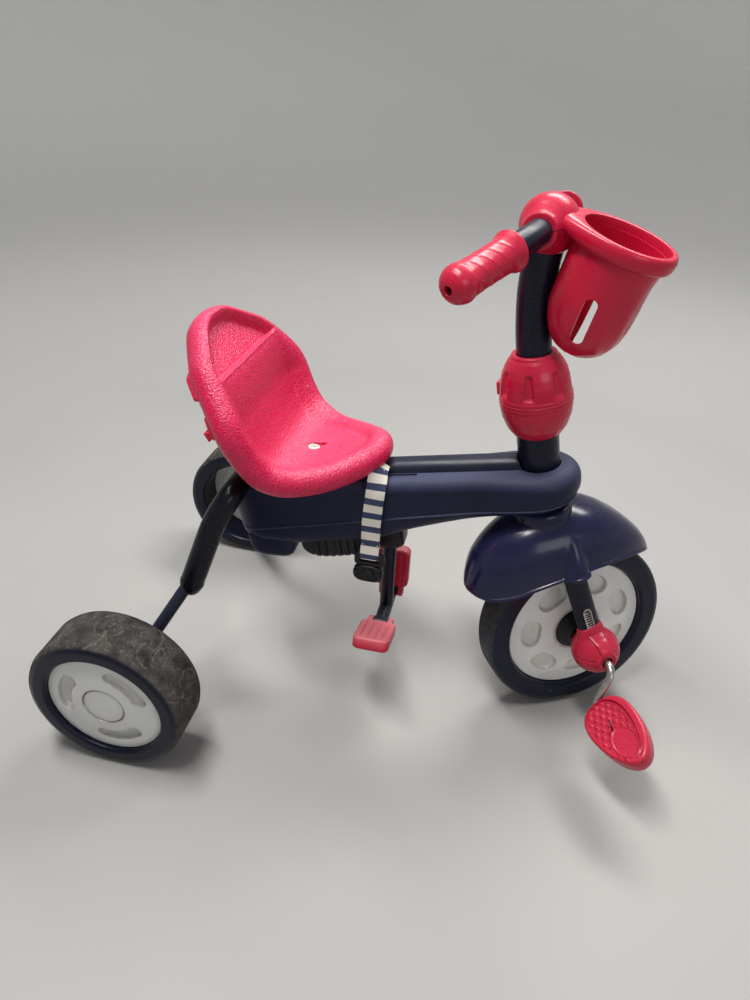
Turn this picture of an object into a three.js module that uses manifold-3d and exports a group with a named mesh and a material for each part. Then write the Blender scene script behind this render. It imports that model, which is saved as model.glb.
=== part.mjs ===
// Children's tricycle: steel frame under a long plastic cover, bucket seat with a strap, folding
// footrest, raked steering column with a twist coupling, front pedals and a handlebar basket.
// Millimetres. +X is forward, +Y is the rider's left, +Z is up. The origin lies on the ground
// under the middle of the footprint. The fork stands turned to the left and the handlebar a little
// to the right, the right foot pad is out and the left one is folded up.

import * as THREE from 'three';
import { mergeVertices } from 'three/addons/utils/BufferGeometryUtils.js';
import Module from 'manifold-3d';

const wasm = await Module();
wasm.setup();

// ---------------------------------------------------------------- driving dimensions

const GAP = 0.3; // clearance between pieces that touch
const degrees = (angle) => angle * Math.PI / 180;

// Pose of the turning pieces
const STEER_ANGLE = degrees(29.3); // fork, positive to the left
const BAR_ANGLE = degrees(-16); // handlebar
const RAKE = degrees(11.4); // steering axis leans back by this, and the frame tube rises by it

// Frame: the head point is where the frame tube's axis meets the steering axis
const HEAD_X = 443; // ahead of the rear axle
const FRONT_WHEEL_RADIUS = 120;
const HEAD_OVER_WHEEL = 105.5; // room over the front wheel for the fork's crown and the fender
const HEAD_HEIGHT = 2 * FRONT_WHEEL_RADIUS + HEAD_OVER_WHEEL;
const FRAME_TUBE_RADIUS = 17;
const FRAME_TUBE_LENGTH = 345;
const HEAD_TUBE_RADIUS = 23.8;
const HEAD_TUBE_BELOW = 47;
const HEAD_TUBE_ABOVE = 45;
const STEERER_RADIUS = 14;

// Rear wheels
const REAR_WHEEL_RADIUS = 94;
const REAR_TYRE_WIDTH = 67;
const REAR_TRACK = 442; // between the middles of the tyres
const REAR_DISC_RADIUS = 67;
const REAR_DISC_RECESS = 12;
const REAR_HUB_RADIUS = 19;
const REAR_WEB = 7;
const AXLE_ROD_RADIUS = 7.5;

// Front wheel and fork
const FRONT_TYRE_WIDTH = 45;
const FRONT_TREAD_FLAT = 30; // width of the flat part of the tread
const FRONT_DISC_RADIUS = 92;
const FRONT_DISC_RECESS = 9;
const FORK_OFFSET = 31.3; // axle ahead of the steering axis
const FORK_HALF_SPREAD = 62; // fork leg to the middle plane, at the axle
const CROWN_HALF_SPREAD = 36;
const CROWN_TOP = 80; // below the head point
const CROWN_LENGTH = 38;
const CROWN_THICKNESS = 14;
const FORK_LEG_WIDTH = 28;
const FORK_LEG_THICKNESS = 15;
const VENT_WIDTH = 10;
const VENT_HEIGHT = 30;
const VENT_THICKNESS = 4;
const VENT_RISE = 46; // above the axle
const BALL_RADIUS = 29;
const BALL_SPREAD = 65; // middle of a ball cover to the middle plane
const HUB_BOSS_RADIUS = 24;
const DIMPLES = 9;
const DIMPLE_DEPTH = 2.5;
const FENDER_HALF_WIDTH = 58;
const FENDER_WALL = 3;
const COLLAR_RADIUS = 34;
const COLLAR_SLEEVE_RADIUS = 18;

// Cranks and pedals
const CRANK_LENGTH = 47;
const CRANK_ANGLE = degrees(33); // the right crank hangs this far back from the fork's line
const CRANK_SPREAD = 109; // crank arm to the middle plane
const CRANK_BEND = 20;
const SPINDLE_BEND = 5;
const CRANK_ROD_RADIUS = 4.75;
const PEDAL_INNER = 115; // inner end of a pedal to the middle plane
const PEDAL_LENGTH = 93;
const PEDAL_WIDTH = 61;
const PEDAL_THICKNESS = 21;
const PEDAL_RIM = 7;
const PEDAL_RECESS = 4;
const PEDAL_TILT = degrees(28.4);

// Column, coupling and handlebar
const COUPLING_RADIUS = 39.5;
const COUPLING_CUP_HEIGHT = 40;
const COUPLING_BELL_HEIGHT = 51;
const BELL_FLUTES = 7;
const LATCH_TRAVEL = 3;
const COLUMN_RADIUS = 18.5;
const HANDLEBAR_HEIGHT = 263; // along the steering axis above the head point
const HANDLEBAR_AHEAD = 21;
const HANDLEBAR_HALF_WIDTH = 161;
const HANDLEBAR_SWEEP = 36;
const HANDLEBAR_DROP = 15;
const HANDLEBAR_RADIUS = 12.5;
const GRIP_LENGTH = 86;
const GRIP_RADIUS = 16.5;
const HUB_COVER_RADIUS = 29;

// Basket
const BASKET_TILT = degrees(27.3); // rim against the frame tube's direction
const BASKET_RIM_HALF_LENGTH = 42.5;
const BASKET_AHEAD_OF_BAR = 71;
const BASKET_AHEAD = HANDLEBAR_AHEAD + BASKET_AHEAD_OF_BAR; // middle of the opening
const BASKET_BELOW_BAR = 17;
const BASKET_HEIGHT = HANDLEBAR_HEIGHT - BASKET_BELOW_BAR;
const BASKET_DEPTH = 109;
const BASKET_RIM_HALF_WIDTH = 33;
const BASKET_RIM_BAND = 8;
const BASKET_RIM_HEIGHT = 17;
const BASKET_WALL = 3;
const BASKET_SLOT_WIDTH = 13;
const BASKET_BACK_CLEARANCE = 1.5; // basket's back groove to the column

// Cover over the frame tube
const COVER_NOSE_RADIUS = 46;
const COVER_HALF_WIDTH = 38;
const COVER_LENGTH = 381; // behind the head point
const COVER_TOP = 5; // above the frame tube's axis
const COVER_DEPTH = 86; // deepest place of the cover below the frame tube's axis
const COVER_WALL = 3;
const COVER_SLOT_HALF_WIDTH = 16; // the frame tube shows through it
const SEAM_AT_NOSE = 27; // seam below the frame tube's axis, at the head
const SEAM_SLOPE = degrees(4.1);
const FOOT_INSET = 2;
const FOOT_DEPTH = 20;
const FOOT_RIBS = 5;
const RIBBED_FOOT_LENGTH = 87;
const FOOT_TO_FOOT = 12;
const TAIL_FOOT_INSET = 15; // from the cover's tail
const RIB_GROOVE = 3;

// Rear legs: one arched tube over the tail of the frame tube
const LEG_RADIUS = 14.5;
const ARCH_BEHIND_HEAD = 345;
const ARCH_X = HEAD_X - ARCH_BEHIND_HEAD;
const ARCH_BELOW_HEAD = 55.5;
const ARCH_HEIGHT = HEAD_HEIGHT - ARCH_BELOW_HEAD;
const SHOULDER_HALF_WIDTH = 84;
const LEG_FOOT_X = 53;
const LEG_FOOT_HALF_WIDTH = 110;
const LEG_FOOT_HEIGHT = 178;

// Seat
const SEAT_BEHIND_HEAD = 388; // top of the backrest's rim line behind the head point
const SEAT_BELOW_HEAD = 22.5; // lowest place of the rim line below the head point
const SEAT_LENGTH = 201; // of the rim line
const SEAT_HEIGHT = 143;
const SEAT_HALF_WIDTH = 108;
const SEAT_RIM_RADIUS = 16;
const SEAT_SHELL = 6;
const SEAT_STATIONS = 14;
const SEAT_END_REACH = 17; // the rim's outer edge beyond its last full section, top and front
const SEAT_LEDGE_STEP = 7; // the upper backrest panel lies this much deeper
const SEAT_SCREW_RADIUS = 8;
const SEAT_SCREW_HEAD = 2;
const SEAT_SCREW_SHANK = 3;
const SEAT_SCREW_LENGTH = 16;
const BACK_PAD_SHARE = 0.2;
const BACK_CATCH_SHARE = 0.37;
const SEAT_SCREW_SHARE = 0.715; // along the seat from the top of the backrest

// Footrest: a post with a crossbar, and a pad hinged on each end of it
const FOOTREST_BEHIND_HEAD = 166;
const FOOTREST_X = HEAD_X - FOOTREST_BEHIND_HEAD;
const POST_RADIUS = 9;
const FOOTREST_TOP_BELOW_HEAD = 119.5;
const FOOTREST_TOP = HEAD_HEIGHT - FOOTREST_TOP_BELOW_HEAD;
const MOUNT_LENGTH = 38;
const MOUNT_WIDTH = 34;
const MOUNT_HEIGHT = 44;
const MOUNT_TO_FOOT = 2.5; // room between the bracket and the ribbed foot
const CROSSBAR_HEIGHT = 100;
const CROSSBAR_HALF_SPAN = 36;
const PAD_LENGTH = 63;
const PAD_WIDTH = 46;
const PAD_THICKNESS = 16;
const PAD_EAR = 7;
const PAD_PIN_RADIUS = 3;
const PAD_OUT_TILT = degrees(19);

// Strap and buckle
const STRAP_WIDTH = 23;
const STRAP_THICKNESS = 1.6;
const STRAP_BEHIND_HEAD = 183;
const STRAP_X = HEAD_X - STRAP_BEHIND_HEAD;
const STRAP_TOP_BELOW_HEAD = 8.5;
const STRAP_TOP = HEAD_HEIGHT - STRAP_TOP_BELOW_HEAD;
const STRAP_TOP_Y = -32;
const STRAP_DROP = 120;
const STRAP_IN_SEAT = 10; // length of the strap inside the rim's slot
const STRAP_LEAN_DROP = 27; // the strap hangs straight from this far under its top
const STRAP_BOTTOM = STRAP_TOP - STRAP_DROP;
const BUCKLE_WIDTH = 38;
const BUCKLE_THICKNESS = 9;
const BUCKLE_HEIGHT = 24;
const LOOP_HEIGHT = 18;
const LOOP_THICKNESS = 5;
const LOOP_SLOT_HEIGHT = 7;
const STRAP_STANDOFF = 6;
const BUTTON_RADIUS = 8;
const BUTTON_POCKET = 5;
const BUTTON_TRAVEL = 1.5;

const WHEEL_SEGMENTS = 28;

// ---------------------------------------------------------------- materials

const navyPlastic = { color: 0x1c2344, roughness: 0.42, metalness: 0 };
const navyPaint = { color: 0x171d3c, roughness: 0.35, metalness: 0.2 };
const blackPlastic = { color: 0x0d0e14, roughness: 0.5, metalness: 0 };
const redPlastic = { color: 0xc8203f, roughness: 0.38, metalness: 0 };
const pinkPlastic = { color: 0xe0345c, roughness: 0.5, metalness: 0 };
const whitePlastic = { color: 0xd9d8d2, roughness: 0.45, metalness: 0 };
const tyrePlastic = { color: 0x4a4743, roughness: 0.85, metalness: 0 };
const navyTyre = { color: 0x151a33, roughness: 0.5, metalness: 0 };
const steel = { color: 0xb9b6b0, roughness: 0.25, metalness: 1 };
const webbing = { color: 0xe9e1d6, roughness: 0.95, metalness: 0 };

// ---------------------------------------------------------------- solids

const at = (x, y, z) => new THREE.Vector3(x, y, z);

function signedVolume(positions, triangles) {
  const a = new THREE.Vector3();
  const b = new THREE.Vector3();
  const c = new THREE.Vector3();
  let volume = 0;
  for (let i = 0; i < triangles.length; i += 3) {
    a.fromArray(positions, triangles[i] * 3);
    b.fromArray(positions, triangles[i + 1] * 3);
    c.fromArray(positions, triangles[i + 2] * 3);
    volume += a.dot(b.cross(c));
  }
  return volume;
}

// A closed three.js geometry as a manifold solid with its faces out.
function solidOf(geometry) {
  const bare = geometry.clone();
  bare.deleteAttribute('normal');
  bare.deleteAttribute('uv');
  const merged = mergeVertices(bare, 1e-4);
  const positions = merged.attributes.position.array;
  const corners = merged.index.array;
  const triangles = [];
  for (let i = 0; i < corners.length; i += 3) {
    const [a, b, c] = [corners[i], corners[i + 1], corners[i + 2]];
    if (a !== b && b !== c && c !== a) triangles.push(a, b, c);
  }
  if (signedVolume(positions, triangles) < 0) triangles.reverse();
  const mesh = new wasm.Mesh({
    numProp: 3,
    vertProperties: new Float32Array(positions),
    triVerts: new Uint32Array(triangles),
  });
  return new wasm.Manifold(mesh);
}

function geometryOf(solid) {
  const { vertProperties, triVerts, numProp } = solid.getMesh();
  const geometry = new THREE.BufferGeometry();
  const positions = new Float32Array(vertProperties.length / numProp * 3);
  for (let i = 0; i < positions.length / 3; i += 1) {
    positions.set(vertProperties.subarray(i * numProp, i * numProp + 3), i * 3);
  }
  geometry.setAttribute('position', new THREE.BufferAttribute(positions, 3));
  geometry.setIndex(new THREE.BufferAttribute(new Uint32Array(triVerts), 1));
  geometry.computeVertexNormals();
  return geometry;
}

// The biggest of a solid's separate bodies.
const largest = (solid) => solid.decompose().sort((a, b) => b.volume() - a.volume())[0];

// A profile of [radius, height] pairs turned about the Z axis.
function turned(profile, segments = 32) {
  const points = profile.map(([radius, height]) => new THREE.Vector2(radius, height));
  const first = points[0];
  const last = points[points.length - 1];
  const onAxis = first.x === 0 && last.x === 0;
  if (!onAxis) points.push(first.clone());
  return solidOf(new THREE.LatheGeometry(points, segments).rotateX(Math.PI / 2));
}

// The same, turned about the Y axis, with heights along Y.
const wheelTurned = (profile, segments) => {
  const points = profile.map(([radius, along]) => new THREE.Vector2(radius, along));
  const onAxis = points[0].x === 0 && points[points.length - 1].x === 0;
  if (!onAxis) points.push(points[0].clone());
  return solidOf(new THREE.LatheGeometry(points, segments));
};

// A solid through rings of equal point counts, closed by flat ends.
function lofted(rings) {
  const positions = rings.flat().flatMap((point) => [point.x, point.y, point.z]);
  const count = rings[0].length;
  const triangles = [];
  for (let ring = 0; ring + 1 < rings.length; ring += 1) {
    for (let i = 0; i < count; i += 1) {
      const here = ring * count + i;
      const next = ring * count + (i + 1) % count;
      triangles.push(here, next, next + count, here, next + count, here + count);
    }
  }
  const closeEnd = (ring, offset, flip) => {
    const middle = ring.reduce((sum, point) => sum.add(point), at(0, 0, 0)).divideScalar(count);
    const across = ring[0].clone().sub(middle).normalize();
    const normal = at(0, 0, 0);
    for (let i = 0; i < count; i += 1) {
      const a = ring[i].clone().sub(middle);
      normal.add(a.cross(ring[(i + 1) % count].clone().sub(middle)));
    }
    const up = normal.normalize().cross(across);
    const flat = ring.map((point) => {
      const arm = point.clone().sub(middle);
      return new THREE.Vector2(arm.dot(across), arm.dot(up));
    });
    for (const [a, b, c] of THREE.ShapeUtils.triangulateShape(flat, [])) {
      if (flip) triangles.push(offset + a, offset + c, offset + b);
      else triangles.push(offset + a, offset + b, offset + c);
    }
  };
  closeEnd(rings[0], 0, true);
  closeEnd(rings[rings.length - 1], (rings.length - 1) * count, false);
  const geometry = new THREE.BufferGeometry();
  geometry.setAttribute('position', new THREE.Float32BufferAttribute(positions, 3));
  geometry.setIndex(triangles);
  return solidOf(geometry);
}

const circleShape = (radius, sides = 16) => {
  const points = [];
  for (let i = 0; i < sides; i += 1) {
    const angle = i / sides * Math.PI * 2;
    points.push(new THREE.Vector2(radius * Math.cos(angle), radius * Math.sin(angle)));
  }
  return new THREE.Shape(points);
};

// A round bar along a smooth curve through the points.
function bar(points, radius, steps = 24, sides = 16) {
  const path = new THREE.CatmullRomCurve3(points, false, 'centripetal');
  const options = { steps, bevelEnabled: false, extrudePath: path };
  return solidOf(new THREE.ExtrudeGeometry(circleShape(radius, sides), options));
}

const straightBar = (from, to, radius, sides = 24) => {
  const options = { steps: 1, bevelEnabled: false, extrudePath: new THREE.LineCurve3(from, to) };
  return solidOf(new THREE.ExtrudeGeometry(circleShape(radius, sides), options));
};

function block(lengthX, lengthY, lengthZ, centre) {
  const box = new THREE.BoxGeometry(lengthX, lengthY, lengthZ);
  return solidOf(box.translate(centre.x, centre.y, centre.z));
}

// An extruded outline in the X-Y plane with rounded top and bottom edges, centred on Z = 0.
function roundedPlate(shape, thickness, bevel, curveSegments = 8) {
  const geometry = new THREE.ExtrudeGeometry(shape, {
    depth: thickness - 2 * bevel,
    bevelEnabled: true,
    bevelThickness: bevel,
    bevelSize: bevel,
    bevelOffset: -bevel,
    bevelSegments: 1,
    curveSegments,
  });
  return solidOf(geometry.translate(0, 0, bevel - thickness / 2));
}

function ellipseShape(halfLength, halfWidth, centreX = 0, centreY = 0) {
  return new THREE.Shape().absellipse(centreX, centreY, halfLength, halfWidth, 0, Math.PI * 2);
}

function roundedBox(length, width, corner) {
  const [x, y] = [length / 2, width / 2];
  const shape = new THREE.Shape();
  shape.moveTo(-x + corner, -y);
  shape.lineTo(x - corner, -y);
  shape.absarc(x - corner, -y + corner, corner, -Math.PI / 2, 0);
  shape.lineTo(x, y - corner);
  shape.absarc(x - corner, y - corner, corner, 0, Math.PI / 2);
  shape.lineTo(-x + corner, y);
  shape.absarc(-x + corner, y - corner, corner, Math.PI / 2, Math.PI);
  shape.lineTo(-x, -y + corner);
  shape.absarc(-x + corner, -y + corner, corner, Math.PI, Math.PI * 1.5);
  return shape;
}

// ---------------------------------------------------------------- groups

const tricycle = new THREE.Group();

// Height above the head point of a point on the frame tube's axis is zero in this group:
// its X runs along the frame tube, its Z up the steering axis.
const raked = new THREE.Group();
raked.position.set(HEAD_X, 0, HEAD_HEIGHT);
raked.rotation.y = -RAKE;
tricycle.add(raked);

const fork = new THREE.Group();
fork.rotation.z = STEER_ANGLE;
raked.add(fork);

const handlebar = new THREE.Group();
handlebar.rotation.z = BAR_ANGLE;
raked.add(handlebar);

function piece(parent, name, solid, look) {
  const mesh = new THREE.Mesh(geometryOf(solid), new THREE.MeshStandardMaterial(look));
  mesh.name = name;
  parent.add(mesh);
  return mesh;
}

const sides = [['right', -1], ['left', 1]];

// From the raked group's own X and Z to the tricycle's.
const fromRaked = (along, y, up) => at(
  HEAD_X + along * Math.cos(RAKE) - up * Math.sin(RAKE),
  y,
  HEAD_HEIGHT + along * Math.sin(RAKE) + up * Math.cos(RAKE),
);
const toRaked = (x, y, z) => at(
  (x - HEAD_X) * Math.cos(RAKE) + (z - HEAD_HEIGHT) * Math.sin(RAKE),
  y,
  (z - HEAD_HEIGHT) * Math.cos(RAKE) - (x - HEAD_X) * Math.sin(RAKE),
);
const inRaked = (point) => toRaked(point.x, point.y, point.z);

// ---------------------------------------------------------------- frame tube and head tube

const headTube = turned([
  [STEERER_RADIUS + GAP, -HEAD_TUBE_BELOW],
  [HEAD_TUBE_RADIUS, -HEAD_TUBE_BELOW],
  [HEAD_TUBE_RADIUS, HEAD_TUBE_ABOVE],
  [STEERER_RADIUS + GAP, HEAD_TUBE_ABOVE],
], 32);
piece(raked, 'head_tube', headTube, navyPaint);

// ---------------------------------------------------------------- cover

const seamHeight = (x) => -SEAM_AT_NOSE + (x - COVER_NOSE_RADIUS) * Math.tan(SEAM_SLOPE);

// Half width and bottom of the cover along the frame tube.
function coverHalfWidth(x) {
  const tailStart = 40 - COVER_LENGTH;
  if (x > 0) return Math.sqrt(Math.max(COVER_NOSE_RADIUS ** 2 - x ** 2, 1));
  const taper = THREE.MathUtils.smoothstep(-x, 0, 90);
  const width = THREE.MathUtils.lerp(COVER_NOSE_RADIUS, COVER_HALF_WIDTH, taper);
  if (x > tailStart) return width;
  const back = (tailStart - x) / (COVER_LENGTH + tailStart);
  return width * Math.sqrt(Math.max(1 - 0.75 * back ** 2, 0.01));
}

// The cover's underside behind the head point, in shares of its length and depth.
const coverBottomCurve = new THREE.CatmullRomCurve3([
  at(COVER_NOSE_RADIUS, 0, -0.3953 * COVER_DEPTH),
  ...[
    [0, 0.5], [0.1575, 0.5698], [0.4042, 0.7791], [0.5249, 0.9302], [0.7874, 1], [1, 0.907],
  ].map(([back, down]) => at(-back * COVER_LENGTH, 0, -down * COVER_DEPTH)),
], false, 'centripetal');

function coverBottom(x) {
  let low = 0;
  let high = 1;
  for (let i = 0; i < 24; i += 1) {
    const middle = (low + high) / 2;
    if (coverBottomCurve.getPoint(middle).x > x) low = middle;
    else high = middle;
  }
  return coverBottomCurve.getPoint((low + high) / 2).z;
}

function coverRing(x, inset) {
  const halfWidth = Math.max(coverHalfWidth(x) - inset, 1);
  const top = COVER_TOP - inset;
  const bottom = coverBottom(x) + inset;
  const corner = Math.min(halfWidth * 0.8, x > 0 ? 18 : 16);
  const ring = [];
  const corners = [
    [halfWidth - corner, top - corner, 0],
    [-halfWidth + corner, top - corner, 90],
    [-halfWidth + corner, bottom + corner, 180],
    [halfWidth - corner, bottom + corner, 270],
  ];
  for (const [y, z, start] of corners) {
    for (let step = 0; step <= 2; step += 1) {
      const angle = degrees(start + step * 45);
      ring.push(at(x, y + corner * Math.cos(angle), z + corner * Math.sin(angle)));
    }
  }
  return ring;
}

function coverBody(inset) {
  const front = COVER_NOSE_RADIUS - inset;
  const stations = [0.2, 0.45, 0.85].map((share) => -COVER_LENGTH + inset + 40 * share - 8);
  const rings = [];
  for (const x of stations) rings.push(coverRing(x, inset));
  const shares = [0.8136, 0.5249, 0.3937, 0.2362, 0.1181, 0];
  for (const share of shares) rings.push(coverRing(-share * COVER_LENGTH, inset));
  for (const share of [0.4, 0.7, 0.88, 0.97, 0.998]) rings.push(coverRing(front * share, inset));
  return lofted(rings);
}

const intoRaked = new THREE.Matrix4().makeRotationY(-RAKE)
  .setPosition(HEAD_X, 0, HEAD_HEIGHT).invert();
const outOfRaked = intoRaked.clone().invert();
const movedBy = (solid, matrix) => solid.transform(matrix.elements);

// ---------------------------------------------------------------- rear arch and axle rods

// A bar of oval section along straight stretches with rounded bends, one size for all of them or
// a list. The section's first half size lies along the given direction, as far as the bar's own
// direction allows.
function bentBar(points, halfA, halfB, bend, along, sectionSides = 10) {
  const places = [points[0]];
  const directions = [points[1].clone().sub(points[0]).normalize()];
  for (let i = 1; i + 1 < points.length; i += 1) {
    const before = points[i - 1].clone().sub(points[i]);
    const after = points[i + 1].clone().sub(points[i]);
    const wanted = Array.isArray(bend) ? bend[i - 1] : bend;
    const reach = Math.min(wanted, before.length() * 0.48, after.length() * 0.48);
    const start = points[i].clone().addScaledVector(before.normalize(), reach);
    const end = points[i].clone().addScaledVector(after.normalize(), reach);
    const corner = new THREE.QuadraticBezierCurve3(start, points[i], end);
    for (const share of [0, 0.5, 1]) {
      places.push(corner.getPoint(share));
      directions.push(corner.getTangent(share));
    }
  }
  const last = points.length - 1;
  places.push(points[last]);
  directions.push(points[last].clone().sub(points[last - 1]).normalize());
  const rings = places.map((place, index) => {
    const direction = directions[index];
    const first = along.clone().addScaledVector(direction, -along.dot(direction)).normalize();
    const second = direction.clone().cross(first);
    const ring = [];
    for (let step = 0; step < sectionSides; step += 1) {
      const angle = step / sectionSides * Math.PI * 2;
      const arm = first.clone().multiplyScalar(Math.cos(angle) * halfA);
      ring.push(arm.addScaledVector(second, Math.sin(angle) * halfB).add(place));
    }
    return ring;
  });
  return lofted(rings);
}

const ball = (radius, centre, around, high) => (
  solidOf(new THREE.SphereGeometry(radius, around, high).translate(centre.x, centre.y, centre.z))
);

const archPoints = (sign) => [
  at(ARCH_X, sign * (SHOULDER_HALF_WIDTH - 8), ARCH_HEIGHT + 2),
  at(ARCH_X - 18, sign * (SHOULDER_HALF_WIDTH + 5), ARCH_HEIGHT - 30),
  at(LEG_FOOT_X, sign * LEG_FOOT_HALF_WIDTH, LEG_FOOT_HEIGHT),
];
const rearArch = (grow) => bentBar(
  [...archPoints(-1).reverse(), ...archPoints(1)],
  LEG_RADIUS + grow,
  LEG_RADIUS + grow,
  22,
  at(1, 0, 0),
);

const wheelInnerFace = REAR_TRACK / 2 - REAR_TYRE_WIDTH / 2;
const axleRod = (sign, grow) => bentBar([
  at(LEG_FOOT_X - 1, sign * (LEG_FOOT_HALF_WIDTH + 1), LEG_FOOT_HEIGHT + 3 + grow),
  at(0, sign * (wheelInnerFace - 2), REAR_WHEEL_RADIUS),
  at(0, sign * (REAR_TRACK / 2 + REAR_TYRE_WIDTH / 2 - REAR_DISC_RECESS - 3), REAR_WHEEL_RADIUS),
], AXLE_ROD_RADIUS + grow, AXLE_ROD_RADIUS + grow, 16, at(1, 0, 0));

let archSolid = rearArch(0);
for (const [side, sign] of sides) {
  const foot = at(LEG_FOOT_X, sign * LEG_FOOT_HALF_WIDTH, LEG_FOOT_HEIGHT);
  archSolid = archSolid.add(ball(LEG_RADIUS, foot, 10, 6)).subtract(axleRod(sign, GAP));
  piece(tricycle, `axle_rod_${side}`, axleRod(sign, 0), navyPaint);
}
piece(tricycle, 'rear_arch', archSolid, blackPlastic);

const archInRaked = movedBy(rearArch(GAP), intoRaked);
const frameTube = straightBar(at(-FRAME_TUBE_LENGTH, 0, 0), at(0, 0, 0), FRAME_TUBE_RADIUS)
  .subtract(straightBar(at(0, 0, -60), at(0, 0, 60), HEAD_TUBE_RADIUS + 2 * GAP, 32))
  .subtract(archInRaked);
piece(raked, 'frame_tube', largest(frameTube), navyPaint);

const SEAM_REACH = 1.5 * COVER_LENGTH; // the cutting block runs this far past the cover
const seamSection = (x) => [
  at(x, -SEAM_REACH, -SEAM_REACH), at(x, SEAM_REACH, -SEAM_REACH),
  at(x, SEAM_REACH, seamHeight(x)), at(x, -SEAM_REACH, seamHeight(x)),
];
const belowSeam = lofted([seamSection(-SEAM_REACH), seamSection(SEAM_REACH)]);
const tubeSpace = straightBar(at(-FRAME_TUBE_LENGTH - GAP, 0, 0), at(0, 0, 0), FRAME_TUBE_RADIUS + GAP);
const headSpace = straightBar(at(0, 0, -90), at(0, 0, 60), HEAD_TUBE_RADIUS + 2 * GAP, 32);
const coverShell = coverBody(0).subtract(coverBody(COVER_WALL));
const slotOverTube = block(COVER_LENGTH, 2 * COVER_SLOT_HALF_WIDTH, 30, at(-COVER_LENGTH / 2 - 30, 0, 15));

const coverUpper = coverShell.subtract(belowSeam).subtract(tubeSpace).subtract(headSpace)
  .subtract(slotOverTube).subtract(archInRaked);
piece(raked, 'cover_upper', coverUpper, navyPlastic);
const coverLower = coverShell.intersect(belowSeam.translate(0, 0, -GAP)).subtract(headSpace);
piece(raked, 'cover_lower', coverLower, navyPlastic);

const coverHull = coverBody(-GAP);

// Two feet under the cover: a ribbed one behind the footrest's bracket and a plain one at the tail.
function coverFoot(front, back, depth, ribs) {
  const rings = [];
  const steps = 8;
  for (let step = 0; step <= steps; step += 1) {
    const x = THREE.MathUtils.lerp(back, front, step / steps);
    const share = Math.sqrt(1 - 0.8 * (step / steps * 2 - 1) ** 4);
    const halfWidth = COVER_HALF_WIDTH - FOOT_INSET - 6 * (1 - share);
    const top = coverBottom(x) + 12;
    const bottom = coverBottom(x) - depth * share;
    rings.push([
      at(x, halfWidth, top), at(x, -halfWidth, top),
      at(x, -halfWidth, bottom + 5), at(x, -halfWidth + 6, bottom),
      at(x, halfWidth - 6, bottom), at(x, halfWidth, bottom + 5),
    ]);
  }
  let foot = lofted(rings).subtract(coverHull);
  for (let rib = 1; rib <= ribs; rib += 1) {
    const x = THREE.MathUtils.lerp(back, front, (rib + 0.5) / (ribs + 2));
    for (const [, sign] of sides) {
      const wall = sign * (COVER_HALF_WIDTH - FOOT_INSET);
      foot = foot.subtract(block(RIB_GROOVE, 3, depth + 8, at(x, wall, coverBottom(x) - depth / 2 - 4)));
    }
  }
  return foot;
}
const mountAt = inRaked(at(FOOTREST_X, 0, FOOTREST_TOP - 6));
const ribbedFront = mountAt.x - MOUNT_LENGTH / 2 - MOUNT_TO_FOOT;
const ribbedBack = ribbedFront - RIBBED_FOOT_LENGTH;
const tailFoot = coverFoot(ribbedBack - FOOT_TO_FOOT, TAIL_FOOT_INSET - COVER_LENGTH, FOOT_DEPTH, 0);
piece(raked, 'cover_foot_tail', tailFoot, navyPlastic);
const ribbedFoot = coverFoot(ribbedFront, ribbedBack, FOOT_DEPTH - 1, FOOT_RIBS);
piece(raked, 'cover_foot_ribbed', ribbedFoot, blackPlastic);

// ---------------------------------------------------------------- seat and strap

// The rim's middle line on the left side, from the top of the backrest to the front lip, in shares
// of the seat's length, half width and height.
const seatRim = new THREE.CatmullRomCurve3([
  [0, 0.3148, 1], [0.0299, 0.463, 0.951], [0.0846, 0.6481, 0.8671],
  [0.1542, 0.787, 0.7622], [0.2189, 0.8981, 0.6503], [0.2786, 0.9815, 0.5315],
  [0.3234, 1, 0.4056], [0.3781, 0.9537, 0.2448], [0.4577, 0.8981, 0.0909],
  [0.5672, 0.8056, 0.014], [0.6866, 0.6667, 0], [0.8109, 0.5278, 0.028],
  [0.9353, 0.3519, 0.0769], [1, 0.2222, 0.1119],
].map(([along, out, up]) => at(
  HEAD_X - SEAT_BEHIND_HEAD + along * SEAT_LENGTH,
  out * SEAT_HALF_WIDTH,
  HEAD_HEIGHT - SEAT_BELOW_HEAD + up * SEAT_HEIGHT,
)), false, 'centripetal');
const LEDGE_SHARE = 0.185;

// How deep the pan lies under the rim's crest along the seat, from the top of the backrest.
function seatDepth(share) {
  if (share < LEDGE_SHARE) return 3 + SEAT_LEDGE_STEP;
  if (share < 0.5) return THREE.MathUtils.lerp(3, 20, THREE.MathUtils.smoothstep(share, 0.25, 0.5));
  return THREE.MathUtils.lerp(20, 4, THREE.MathUtils.smoothstep(share, 0.5, 0.85));
}

function seatStation(share) {
  const place = seatRim.getPoint(share);
  const step = 0.02;
  const before = seatRim.getPoint(Math.max(share - step, 0));
  const after = seatRim.getPoint(Math.min(share + step, 1));
  const direction = after.sub(before).setY(0).normalize();
  const up = at(-direction.z, 0, direction.x);
  return { place, direction, up };
}

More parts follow.
